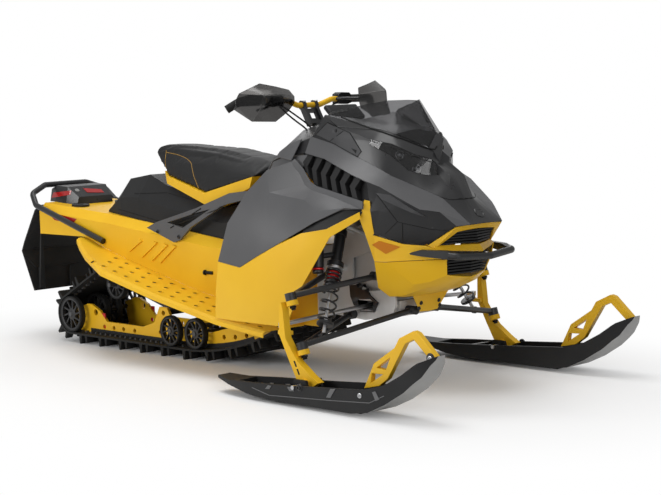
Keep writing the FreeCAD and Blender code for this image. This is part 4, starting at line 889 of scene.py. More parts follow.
def add_coil(bm: BMesh, start: Vector, end: Vector, radius: float, wire: float, turns: float) -> None:
    """Adds a coil spring by spinning its wire's section.

    Args:
        bm: The mesh.
        start: One end of its axis.
        end: The other end.
        radius: From the axis to the middle of the wire.
        wire: Radius of the wire.
        turns: Number of turns.
    """
    before = set(bm.verts)
    steps = round(turns * COIL_STEPS)
    placing = Matrix.Translation((radius * MM, 0.0, 0.0)) @ Matrix.Rotation(math.pi / 2, 4, "X")
    section = bmesh.ops.create_circle(bm, cap_ends=True, radius=wire * MM, segments=8, matrix=placing)
    bmesh.ops.spin(bm, geom=[section["verts"][0].link_faces[0]], cent=MIDDLE, axis=UPWARDS,
                   dvec=UPWARDS * (end - start).length / steps, angle=math.tau * turns, steps=steps)
    made = [vert for vert in bm.verts if vert not in before]
    bmesh.ops.transform(bm, matrix=turned_to(start, end - start), verts=made)


BOLT = ((0.0, -0.3), (1.0, -0.3), (1.0, 0.16), (0.9, 0.22), (0.7, 0.25), (0.66, 0.62), (0.56, 0.7),
        (0.34, 0.7), (0.32, 0.4), (0.0, 0.4))


def add_bolt(bm: BMesh, place: Vector, axis: Vector, radius: float) -> None:
    """Adds a flanged bolt head with a round socket, seated at a place; the radius is its flange's."""
    add_lathe(bm, [(r * radius, h * radius) for r, h in BOLT], place, axis, 18)


def add_box(bm: BMesh, size: Point, rounding: float, segments: int = 2) -> list[bmesh.types.BMVert]:
    """Adds a box with rounded edges round the middle of the frame.

    Args:
        bm: The mesh.
        size: Its length, width and height.
        rounding: Width of the rounding.
        segments: Faces across the rounding.

    Returns:
        Its corners.
    """
    verts = bmesh.ops.create_cube(bm, size=1.0)["verts"]
    bmesh.ops.scale(bm, vec=millimetres(*size), verts=verts)
    edges = list({edge for vert in verts for edge in vert.link_edges})
    return bmesh.ops.bevel(bm, geom=edges, offset=rounding * MM, offset_type="OFFSET", segments=segments,
                           profile=0.5, affect="EDGES", material=-1)["verts"]


def add_patch(bm: BMesh, sight: Sight, nodes: Nodes, outline: Line, proud: float, sunk: float = 0.5,
              step: float = 3.0) -> None:
    """Adds a plate that hugs the surface inside an outline of pixels.

    Args:
        bm: The mesh.
        sight: The photograph's sight.
        nodes: The CAD nodes that carry it.
        outline: Its corners in the photograph.
        proud: How far it stands above the surface.
        sunk: How far it reaches below the surface.
        step: Pixels from one corner of its net to the next.
    """
    flat = bmesh.new()
    flat.faces.new([flat.verts.new((*pixel, 0.0)) for pixel in outline])
    for axis, across in enumerate((Vector((1.0, 0.0, 0.0)), ACROSS)):
        low = min(pixel[axis] for pixel in outline)
        high = max(pixel[axis] for pixel in outline)
        for number in range(1, math.ceil((high - low) / step)):
            bmesh.ops.bisect_plane(flat, geom=flat.verts[:] + flat.edges[:] + flat.faces[:], dist=1e-5,
                                   plane_co=across * (low + number * step), plane_no=across)
    bmesh.ops.triangulate(flat, faces=flat.faces)
    upper = {}
    lower = {}
    for vert in flat.verts:
        place, normal = sight.hit(nodes, vert.co.xy)
        upper[vert] = bm.verts.new(place + normal * proud * MM)
        lower[vert] = bm.verts.new(place - normal * sunk * MM)
    for face in flat.faces:
        bm.faces.new([upper[vert] for vert in face.verts])
        bm.faces.new([lower[vert] for vert in reversed(face.verts)])
    for edge in flat.edges:
        if edge.is_boundary:
            first, last = edge.verts
            bm.faces.new((upper[first], lower[first], lower[last], upper[last]))
    flat.free()
    bmesh.ops.recalc_face_normals(bm, faces=bm.faces)


# Sub-assemblies. Outlines and lines are columns and rows of the photograph; other tables are in millimetres.


@dataclass
class Assembly:
    """A sub-assembly: tables of CAD nodes with their finishes, and steps of its own.

    A row of PANELS gives nodes, their finish and what else Workshop.softened takes; a row of PAINTS gives
    nodes and their finish.

    Attributes:
        shop: The workshop.
        sight: The photograph's sight.
    """

    shop: Workshop
    sight: Sight
    PANELS = ()
    PAINTS = ()

    def build(self) -> None:
        """Rounds the edges of its panels and paints its other CAD nodes."""
        for nodes, finish, *details in self.PANELS:
            for node in nodes:
                self.shop.softened(node, finish, *details)
        for nodes, finish in self.PAINTS:
            for node in nodes:
                self.shop.paint(node, finish)

    def plates(self, bm: BMesh, nodes: Nodes, outlines: Sequence[Line], proud: float,
               sunk: float = 0.5) -> None:
        """Adds a plate on some nodes inside each outline."""
        for outline in outlines:
            add_patch(bm, self.sight, nodes, outline, proud, sunk)

    def strips(self, bm: BMesh, nodes: Nodes, lines: Sequence[Line], radius: float, sides: int = 6,
               lift: float = 0.0) -> None:
        """Adds a round bar over some nodes along each line."""
        for line in lines:
            add_sweep(bm, self.sight.trace(nodes, line, lift=lift), radius, sides)

    def bolts(self, bm: BMesh, nodes: Nodes, pixels: Line, radius: float) -> None:
        """Adds a bolt head on some nodes at each pixel."""
        for pixel in pixels:
            add_bolt(bm, *self.sight.hit(nodes, pixel), radius)

    def plated(self, name: str, finish: Finish, nodes: Nodes, outlines: Sequence[Line], proud: float,
               sunk: float = 0.5, smooth: float = 20.0) -> None:
        """Makes a piece of plates on both sides of the vehicle.

        Args:
            name: The piece's name.
            finish: Its finish.
            nodes: The CAD nodes that carry it.
            outlines: The plates' corners on the near side.
            proud: How far they stand above the surface.
            sunk: How far they reach below it.
            smooth: Edges that fold by more degrees stay sharp.
        """
        bm = bmesh.new()
        self.plates(bm, nodes, outlines, proud, sunk)
        self.shop.piece(name, both_sides(bm), finish, smooth=smooth)


@dataclass
class Bodywork(Assembly):
    """Panels with rounded edges, and the plain finishes of the rest of the bodywork."""

    PANELS = (
        (("hood",), BLACK_GLOSS),
        (("hood_sides",), DARK_PANEL, 24.0),
        (("shoulder_strips",), GREY_PANEL),
        (("console",), CONSOLE_PANEL, 28.0),
        (("dash_sides", "panel_bands"), GREY_PANEL),
        (("side_pockets",), BLACK_PLASTIC),
        (("nose_cheeks",), YELLOW_PANEL, 26.0),
        (("side_louvres",), BLACK_PLASTIC, 24.0),
        (("side_panel_left", "side_panel_right"), GREY_PANEL),
        (("lower_panel_left", "lower_panel_right"), YELLOW_PANEL, 26.0),
        (("windshield",), SCREEN, 26.0),
        (("headlamps",), CLEAR_LENS, 40.0),
        (("belly_pan", "nose_band"), YELLOW_PANEL, 26.0),
    )
    PAINTS = ((("grilles", "lamp_units"), BLACK_PLASTIC), (("front_bumper",), BLACK_PAINT))


@dataclass
class Chassis(Assembly):
    """Tunnel, running boards, bulkhead, rear bumper and what hangs on them."""

    PAINTS = (
        (("tunnel", "running_board_left", "running_board_right", "seat_base"), YELLOW_PAINT),
        (("bulkhead", "engine"), BARE_ALLOY),
        (("tank_cover", "cargo_anchors"), BLACK_PLASTIC),
        (("seat_braces",), GREY_PANEL),
        (("rear_bumper",), BLACK_PAINT),
        (("tail_lamp",), BLACK_GLOSS),
        (("snow_flap",), TRACK_RUBBER),
    )


@dataclass
class Skid(Assembly):
    """Track, rails and the skid's suspension."""

    PAINTS = ((("track",), TRACK_RUBBER), (("slide_rails",), YELLOW_PAINT), (("drive_axle",), DARK_ALLOY),
              (("skid_arms", "skid_shocks"), BLACK_PAINT))


@dataclass
class FrontEnd(Assembly):
    """Front arms, spindles, steering link and ski loops."""

    PANELS = (
        (("spindle_left",), YELLOW_PAINT, 30.0, Body.LEFT_SPINDLE, 2.0),
        (("ski_loop_left",), YELLOW_PANEL, 30.0, Body.LEFT_SKI, 3.0),
        (("spindle_right",), YELLOW_PAINT, 30.0, Body.RIGHT_SPINDLE, 2.0),
        (("ski_loop_right",), YELLOW_PANEL, 30.0, Body.RIGHT_SKI, 3.0),
    )
    PAINTS = ((("steering_link", "ski_bolt_left", "ski_bolt_right"), STEEL),
              (("arms_left", "arms_right"), BLACK_PAINT))


@dataclass
class Bars(Assembly):
    """Handlebar, grips, guards and controls."""

    PANELS = ((("hand_guards",), GUARD_SHELL, 30.0, Body.STEERING),)
    PAINTS = ((("handlebar",), YELLOW_PAINT), (("grips",), TRACK_RUBBER), (("bar_controls",), BLACK_PLASTIC),
              (("steering_column", "guard_arms"), BLACK_PAINT))


@dataclass
class BodyTrim(Assembly):
    """Covers, seals, lamp optics, reflectors and fasteners on the bodywork."""

    COVER = ((315.7, 134.7), (327.5, 122.5), (349.9, 132.9), (361.4, 151.5), (357.6, 156.6), (340.7, 147.4),
             (330.0, 141.5))
    COVER_SEAM = ((330.4, 141.0), (343.5, 131.0))
    COVER_LATCH = ((351.5, 148.2), (356.8, 150.2), (356.2, 153.5))
    SCREEN_EDGE = ((341.5, 117.2), (350.0, 120.8), (376.0, 130.0), (403.6, 139.4), (425.0, 147.8),
                   (435.0, 149.4), (437.0, 146.0))
    SPEAR = ((376.0, 193.0), (390.0, 195.0), (408.0, 206.5), (426.5, 217.0), (412.0, 213.0), (395.0, 205.5),
             (382.0, 199.5))
    REFLECTOR = ((372.1, 244.7), (379.0, 240.9), (400.5, 247.0), (385.9, 253.9))
    PAN_BOLTS = ((438.8, 299.9), (418.9, 308.3))
    SIDE_BOLTS = ((433.0, 228.0), (459.0, 228.3))
    NOSE_DISC = (480.9, 212.5)
    PROJECTORS = ((399.7, 155.0), (416.6, 168.9))
    BROW = ((372.5, 141.5), (390.0, 146.5), (405.0, 154.0), (420.0, 158.5), (432.0, 162.5))
    HOOD_CREASE = ((394.0, 177.0), (415.0, 190.0), (449.0, 199.5), (466.0, 199.0), (474.0, 197.0))
    FLANK_CREASES = (((376.0, 193.4), (397.4, 221.7), (385.2, 234.0)),
                     ((397.4, 221.7), (402.4, 223.2), (431.1, 229.4), (450.5, 231.0)),
                     ((402.4, 223.2), (402.8, 242.0)))
    OUTLET = ((350.5, 285.0), (365.5, 284.0), (371.0, 295.0), (379.0, 303.0), (375.0, 312.0), (362.0, 311.5),
              (355.0, 305.0), (351.5, 296.0))
    HOOD = ("hood", "console", "shoulder_strips")
    DOME = ((0.0, 6.5), (5.0, 5.8), (9.5, 3.4), (12.5, -0.5), (12.5, -2.0), (0.0, -2.0))
    RING = ((12.5, -2.0), (12.5, 2.4), (14.5, 3.6), (16.5, 2.4), (16.5, -2.0), (12.5, -2.0))
    DISC = ((0.0, 1.6), (15.0, 1.6), (16.0, 2.6), (20.0, 2.6), (21.5, 1.2), (21.5, -2.0), (0.0, -2.0))
    HOUSING_SHIFT = (-50.0, 0.0, -10.0)
    HOUSING_SCALE = (1.0, 0.96, 1.0)
    GAUGE_X = 0.50
    GAUGE_RISE = 22.0
    GAUGE_LEAN = -48.0
    GAUGE_ROUNDING = 0.4
    GAUGE_PARTS = (("gauge_case", BLACK_PLASTIC, (20.0, 170.0, 80.0), 0.0),
                   ("gauge_screen", GAUGE_SCREEN, (4.0, 150.0, 62.0), -11.5))

    def build(self) -> None:
        """Makes the trim of the bodywork."""
        self.plated("storage_covers", COVER_PANEL, self.HOOD, (self.COVER,), 1.6, 1.0, 30.0)
        self.seals()
        self.plated("flank_spears", COVER_PANEL, ("hood_sides", "shoulder_strips"), (self.SPEAR,), 3.0)
        self.lamp_optics()
        self.plated("nose_reflectors", AMBER, ("nose_cheeks",), (self.REFLECTOR,), 2.4)
        self.fasteners()
        self.gauge()

    def seals(self) -> None:
        """Runs the rubber of the covers and the screen, near-black strips of painted shade along the hood's
        creases and over the lamps, and covers the outlet.
        """
        bm = bmesh.new()
        self.strips(bm, self.HOOD, (self.COVER + self.COVER[:1], self.COVER_SEAM), 1.3, lift=1.4)
        self.plates(bm, self.HOOD, (self.COVER_LATCH,), 3.0)
        self.shop.piece("cover_seams", both_sides(bm), SEAL_AND_SHADE)
        bm = bmesh.new()
        self.strips(bm, ("windshield", "hood"), (self.SCREEN_EDGE,), 3.2, sides=8, lift=1.0)
        self.shop.piece("screen_seal", both_sides(bm), SEAL_AND_SHADE)
        bm = bmesh.new()
        # Near-black strips along the brow over the lamps and the hood's creases are painted shade.
        self.strips(bm, ("hood", "headlamps"), (self.BROW, self.HOOD_CREASE), 1.2, lift=0.3)
        self.strips(bm, ("hood_sides",), self.FLANK_CREASES, 1.5)
        self.shop.piece("hood_crease_shade", both_sides(bm), SEAL_AND_SHADE)
        bm = bmesh.new()
        self.plates(bm, ("bulkhead", "engine"), (self.OUTLET,), 7.0, 2.0)
        self.shop.piece("outlet_cover", bm, BLACK_GLOSS)

    def lamp_optics(self) -> None:
        """Darkens the lamps' insides and sets a ringed glass dome on each projector."""
        domes = bmesh.new()
        rings = bmesh.new()
        for pixel in self.PROJECTORS:
            spot = self.sight.hit(("lamp_units",), pixel)
            add_lathe(domes, self.DOME, *spot)
            add_lathe(rings, self.RING, *spot)
        back = self.shop.copied("headlamps")
        bmesh.ops.translate(back, vec=millimetres(*self.HOUSING_SHIFT), verts=back.verts)
        bmesh.ops.scale(back, vec=self.HOUSING_SCALE, verts=back.verts)
        self.shop.piece("lamp_housings", back, SEAL_AND_SHADE)
        self.shop.piece("projector_lenses", both_sides(faces_outwards(domes)), PROJECTOR)
        self.shop.piece("projector_rings", both_sides(faces_outwards(rings)), STEEL)

    def fasteners(self) -> None:
        """Drives the bolts of the skid plate and the hood's sides, and sets the plain nose disc."""
        bm = bmesh.new()
        self.bolts(bm, ("belly_pan",), self.PAN_BOLTS, 8.0)
        self.bolts(bm, ("hood_sides",), self.SIDE_BOLTS, 4.5)
        self.shop.piece("body_bolts", both_sides(faces_outwards(bm)), BLACK_PAINT)
        bm = bmesh.new()
        place, normal = self.sight.hit(("hood",), self.NOSE_DISC)
        add_lathe(bm, self.DISC, Vector((place.x, 0.0, place.z)), Vector((normal.x, 0.0, normal.z)), 40)
        self.shop.piece("nose_disc", faces_outwards(bm), BLACK_GLOSS)

    def gauge(self) -> None:
        """Stands the instrument on the console, with its dark screen facing the rider."""
        seat, _ = self.sight.drop(("console",), self.GAUGE_X, 0.0)
        lean = Matrix.Rotation(math.radians(self.GAUGE_LEAN), 4, "Y")
        placing = Matrix.Translation(seat + UPWARDS * self.GAUGE_RISE * MM) @ lean
        for name, finish, size, along in self.GAUGE_PARTS:
            bm = bmesh.new()
            add_box(bm, size, self.GAUGE_ROUNDING * min(size), segments=3)
            bmesh.ops.translate(bm, vec=millimetres(along, 0.0, 0.0), verts=bm.verts)
            bmesh.ops.transform(bm, matrix=placing, verts=bm.verts)
            self.shop.piece(name, bm, finish)


@dataclass
class TunnelTrim(Assembly):
    """Embossed slashes, foot grips, lenses, flap ribs and bolts along the tunnel.

    Attributes:
        grip_rows: Distances from the middle of the rows of grips on a foot board, in metres.
        grip_start: Where a row begins.
        grip_step: From one grip to the next; the middle row is half a step further forward.
        grip_count: Grips in a row.
    """

    grip_rows: tuple[float, ...] = (0.255, 0.315, 0.375)
    grip_start: float = -0.66
    grip_step: float = 0.075
    grip_count: int = 15
    SLASHES = (
        ((128.4, 249.4), (130.5, 251.5), (142.7, 241.0), (140.0, 238.9)),
        ((139.5, 255.3), (143.1, 257.4), (157.9, 242.7), (154.7, 241.4)),
        ((148.8, 257.8), (153.0, 261.0), (168.4, 245.2), (164.8, 243.5)),
        ((157.9, 261.0), (161.4, 263.1), (176.8, 246.3), (173.6, 244.8)),
    )
    FLAP_RIBS = (((38.3, 267.5), (44.0, 267.3), (44.3, 290.0), (39.3, 290.5)),
                 ((69.5, 265.2), (75.0, 264.8), (74.8, 285.0), (69.6, 285.8)))
    FLAP_FOLDS = (((27.0, 257.5), (36.0, 267.0), (60.0, 265.0), (80.0, 263.0)),
                  ((34.0, 248.0), (60.0, 246.0)))
    RAIL_MARKS = ((104.0, 316.5), (151.5, 320.0))
    RAIL_MARK = (24.0, 4.0, 30.0)
    TOE_PEG = (213.0, 273.0)
    PEG_PARTS = (((0.0, 0.0, 0.0), (-40.0, -4.0, 0.0), 7.0), ((-40.0, -4.0, 0.0), (-48.0, -5.0, 0.0), 11.0))
    SIDE_REFLECTOR = ((47.4, 211.5), (76.8, 218.9), (72.6, 224.2), (54.7, 220.0))
    TAIL_LENSES = (((53.7, 192.6), (71.6, 190.5), (70.5, 194.7), (51.6, 197.9)),
                   ((83.1, 188.4), (101.0, 189.4), (104.2, 192.6), (87.3, 192.6)))
    TAIL_BUTTON = (77.2, 190.3)
    BRACE_BOLTS = ((157.9, 231.5), (178.9, 236.8))
    BRACE_GROOVE = ((170.5, 228.0), (201.0, 208.5))
    TANK_SEAMS = (((134.7, 193.6), (167.3, 192.6), (198.9, 202.0)), ((118.0, 209.0), (160.0, 221.5)))
    COLLAR = ((9.5, -0.5), (9.5, 3.0), (11.0, 3.4), (13.5, 0.4), (13.5, -0.5), (9.5, -0.5))
    DRAIN_SHADE_DISC = ((0.0, 0.5), (9.6, 0.5), (9.6, -0.5), (0.0, -0.5))
    BUTTON = ((0.0, 3.0), (9.0, 3.0), (11.0, 1.0), (11.0, -1.0), (0.0, -1.0))

    def build(self) -> None:
        """Makes the trim of the tunnel."""
        self.plated("tunnel_embossing", YELLOW_PAINT, ("tunnel",), self.SLASHES, 7.0)
        self.foot_grips()
        self.lenses()
        self.flap_ribs()
        self.small_parts()

    def foot_grips(self) -> None:
        """Rows of raised rings on both foot boards, each round a drain hole whose near-black disc is painted
        shade.
        """
        rings = bmesh.new()
        drain_shade = bmesh.new()
        for y in self.grip_rows:
            start = self.grip_start + (self.grip_step / 2 if y == self.grip_rows[1] else 0.0)
            for number in range(self.grip_count):
                spot = self.sight.drop(("running_board_left",), start + number * self.grip_step, y)
                add_lathe(rings, self.COLLAR, *spot, steps=14)
                # The near-black disc in each drain hole is painted shade.
                add_lathe(drain_shade, self.DRAIN_SHADE_DISC, *spot, steps=14)
        self.shop.piece("board_grips", both_sides(faces_outwards(rings)), YELLOW_PAINT)
        self.shop.piece("board_drain_shade", both_sides(faces_outwards(drain_shade)), SEAL_AND_SHADE)

    def lenses(self) -> None:
        """Puts the red lenses on the tail lamp and the tunnel's rear corners."""
        bm = bmesh.new()
        self.plates(bm, ("tunnel",), (self.SIDE_REFLECTOR,), 1.5)
        both_sides(bm)
        self.plates(bm, ("tail_lamp",), self.TAIL_LENSES, 1.6)
        self.shop.piece("rear_lenses", bm, RED, smooth=20.0)
        bm = bmesh.new()
        add_lathe(bm, self.BUTTON, *self.sight.hit(("tail_lamp",), self.TAIL_BUTTON))
        self.shop.piece("tail_button", faces_outwards(bm), SKI_UNDERSIDE)

    def flap_ribs(self) -> None:
        """Thick ribs down the snow flap's face and folds across it."""
        bm = bmesh.new()
        self.plates(bm, ("snow_flap",), self.FLAP_RIBS, 13.0, 1.0)
        self.strips(bm, ("snow_flap",), self.FLAP_FOLDS, 3.0, sides=8)
        self.shop.piece("flap_ribs", bm, TRACK_RUBBER, smooth=20.0)

    def small_parts(self) -> None:
        """Bolts of the seat braces, painted shade in their grooves, seams behind the seat, toe pegs and marks
        on the rails.
        """
        bm = bmesh.new()
        self.bolts(bm, ("seat_braces",), self.BRACE_BOLTS, 9.0)
        self.shop.piece("brace_bolts", both_sides(faces_outwards(bm)), BLACK_PAINT)
        bm = bmesh.new()
        # The near-black strip along the brace's groove is painted shade.
        self.strips(bm, ("seat_braces",), (self.BRACE_GROOVE,), 2.6)
        self.strips(bm, ("tank_cover",), self.TANK_SEAMS, 1.8)
        root, _ = self.sight.hit(("tunnel", "running_board_right"), self.TOE_PEG)
        for start, end, radius in self.PEG_PARTS:
            add_sweep(bm, [root + millimetres(*start), root + millimetres(*end)], radius, 12)
        self.shop.piece("seams_pegs_and_groove_shade", both_sides(bm), SEAL_AND_SHADE)
        bm = bmesh.new()
        for pixel in self.RAIL_MARKS:
            made = add_box(bm, self.RAIL_MARK, rounding=1.2)
            bmesh.ops.translate(bm, vec=self.sight.hit(("slide_rails",), pixel)[0], verts=made)
        self.shop.piece("rail_marks", both_sides(bm), RED_ANODISED)


@dataclass
class FrontShocks(Assembly):
    """The front shocks: spring, shaft, body, collars and remote reservoir, in place of the plain ones.

    A drum's row gives its start and end as shares of the way up, its radius and the rounding of its rims;
    a coil's row gives its start and end, its radius, its wire's radius and its turns; an eye's row gives
    its share of the way, half its length and its radius. The neck joins a share of the shock to one of
    the reservoir.

    Attributes:
        low: Foot of the left shock.
        high: Its head.
        can_low: Lower end of its reservoir.
        can_high: Upper end of its reservoir.
        tip: Length of the fitting on top of the reservoir.
        tip_radius: Its radius.
    """

    low: Point = (772.9, 414.9, 221.0)
    high: Point = (675.0, 205.0, 600.0)
    can_low: Point = (692.0, 352.0, 438.0)
    can_high: Point = (674.0, 332.0, 548.0)
    tip: float = 16.0
    tip_radius: float = 9.0
    BODY = ((0.44, 0.95, 21.0, 1.5), (0.1, 0.125, 31.0, 1.5), (0.62, 0.66, 31.5, 1.5),
            (0.9, 0.955, 24.0, 1.5))
    EYES = ((0.0, 8.0, 14.0), (1.0, 14.0, 17.0))
    NECK = (0.74, 0.55, 10.0)
    CAN = ((0.16, 1.0, 22.0, 4.0), (0.0, 0.11, 21.0, 3.0))
    CAN_RING = (0.11, 0.16, 22.4, 0.5)
    BODY_RING = (0.5, 0.57, 21.6, 0.5)
    SHAFT = ((0.03, 0.46, 6.5, 1.0), (0.59, 0.615, 31.0, 1.5))
    COILS = ((0.13, 0.4, 29.0, 3.8, 3.5), (0.4, 0.59, 27.0, 4.0, 5.5))

    def shock(self, share: float) -> Vector:
        """The place at a share of the way from the shock's foot to its head."""
        return millimetres(*self.low).lerp(millimetres(*self.high), share)

    def can(self, share: float) -> Vector:
        """The place at a share of the way up the reservoir."""
        return millimetres(*self.can_low).lerp(millimetres(*self.can_high), share)

    @staticmethod
    def drum(bm: BMesh, start: Vector, end: Vector, radius: float, edge: float = 1.5) -> None:
        """Adds a turned drum between two places.

        Args:
            bm: The mesh.
            start: The middle of one end.
            end: The middle of the other.
            radius: Its radius.
            edge: Width of its bevelled rims.
        """
        long = (end - start).length / MM
        outline = ((0.0, 0.0), (radius - edge, 0.0), (radius, edge), (radius, long - edge),
                   (radius - edge, long), (0.0, long))
        add_lathe(bm, outline, start, end - start, 28)

    def build(self) -> None:
        """Makes both shocks."""
        dark, bright, red, spring = (bmesh.new() for _ in range(4))
        for bm, way, rows in ((dark, self.shock, self.BODY), (dark, self.can, self.CAN),
                              (red, self.can, (self.CAN_RING,)), (red, self.shock, (self.BODY_RING,)),
                              (bright, self.shock, self.SHAFT)):
            for start, end, radius, edge in rows:
                self.drum(bm, way(start), way(end), radius, edge)
        for share, half, radius in self.EYES:
            arm = millimetres(half, 0.0, 0.0)
            self.drum(dark, self.shock(share) - arm, self.shock(share) + arm, radius)
        self.drum(dark, self.shock(self.NECK[0]), self.can(self.NECK[1]), self.NECK[2])
        upwards = (self.can(1.0) - self.can(0.0)).normalized()
        self.drum(red, self.can(1.0), self.can(1.0) + upwards * self.tip * MM, self.tip_radius, 2.0)
        for start, end, radius, wire, turns in self.COILS:
            add_coil(spring, self.shock(start), self.shock(end), radius, wire, turns)
        for name, bm, finish, replaced in (("shock_bodies", dark, BLACK_PAINT, ("shock_left", "shock_right")),
                                           ("shock_shafts", bright, STEEL, ()),
                                           ("shock_rings", red, RED_ANODISED, ()),
                                           ("shock_springs", spring, SPRING_PAINT, ())):
            self.shop.piece(name, both_sides(faces_outwards(bm)), finish, replaces=replaced)


@dataclass
class SkidWheels(Assembly):
    """Wheels of the skid with tyres, rims, spokes and caps, in place of the plain ones.

    A set's row gives its CAD node, x, z, the wheels' radius, the distances of their inner faces from the
    middle and half the axle's length. A profile's points are shares of a wheel's radius and half width;
    a spoke's size and place are shares of the radius.

    Attributes:
        width: Width of a wheel.
        axle: Radius of the axles.
        spokes: Number of spokes.
        first_spoke: Angle of the first spoke in radians.
    """

    width: float = 28.0
    axle: float = 10.0
    spokes: int = 10
    first_spoke: float = 0.3
    SETS = (
        ("rear_wheels", -1110.0, 128.0, 81.7, (160.0, 20.0), 188.0),
        ("lower_wheels", -399.0, 111.3, 65.0, (160.0,), 188.0),
        ("lower_wheels", -237.0, 112.9, 65.0, (160.0,), 188.0),
        ("carrier_wheels", -860.0, 272.0, 67.7, (88.0,), 150.0),
    )
    TYRE = ((0.87, 0.8), (0.96, 1.0), (1.0, 0.72), (1.0, -0.72), (0.96, -1.0), (0.87, -0.8), (0.87, 0.8))
    RIM = ((0.79, 0.7), (0.83, 0.86), (0.88, 0.86), (0.88, -0.86), (0.83, -0.86), (0.79, -0.7), (0.79, 0.7))
    HUB = ((0.0, 0.95), (0.1, 0.95), (0.15, 0.8), (0.18, 0.62), (0.3, 0.55), (0.33, 0.4), (0.33, -0.4),
           (0.3, -0.55), (0.0, -0.55))
    SPOKE_LENGTH, SPOKE_THICKNESS, SPOKE_OUT, SPOKE_ASIDE = 0.6, 0.085, 0.52, 0.1

    def add_wheel(self, rubber: BMesh, plastic: BMesh, centre: Vector, radius: float) -> None:
        """Adds a wheel whose axle runs along y.

        Args:
            rubber: The mesh of the tyres.
            plastic: The mesh of the rims.
            centre: The wheel's centre.
            radius: Its radius.
        """
        half = self.width / 2
        for bm, outline in ((rubber, self.TYRE), (plastic, self.RIM), (plastic, self.HUB)):
            add_lathe(bm, [(r * radius, h * half) for r, h in outline], centre,
                      ACROSS * math.copysign(1.0, centre.y), 40)
        for number in range(self.spokes):
            made = add_box(plastic, (self.SPOKE_LENGTH * radius, self.SPOKE_THICKNESS * radius, half), 1.4)
            bmesh.ops.translate(plastic, vec=millimetres(self.SPOKE_OUT, self.SPOKE_ASIDE, 0.0) * radius,
                                verts=made)
            turn = Matrix.Rotation(math.tau * number / self.spokes + self.first_spoke, 4, "Z")
            bmesh.ops.transform(plastic, matrix=turned_to(centre, ACROSS) @ turn, verts=made)

    def build(self) -> None:
        """Makes all wheels and their axles."""
        meshes: dict[str, tuple[BMesh, BMesh, BMesh]] = {}
        for node, x, z, radius, inner_faces, reach in self.SETS:
            rubber, plastic, steel = meshes.setdefault(node, (bmesh.new(), bmesh.new(), bmesh.new()))
            for inner in inner_faces:
                for side in (-1.0, 1.0):
                    centre = millimetres(x, side * (inner + self.width / 2), z)
                    self.add_wheel(rubber, plastic, centre, radius)
            add_sweep(steel, [millimetres(x, -reach, z), millimetres(x, reach, z)], self.axle, 20)
        for node, (rubber, plastic, steel) in meshes.items():
            self.shop.piece(node + "_rims", faces_outwards(plastic), WHEEL_PLASTIC, replaces=(node,))
            self.shop.piece(node + "_tyres", faces_outwards(rubber), TRACK_RUBBER)
            self.shop.piece(node + "_axles", faces_outwards(steel), DARK_ALLOY)


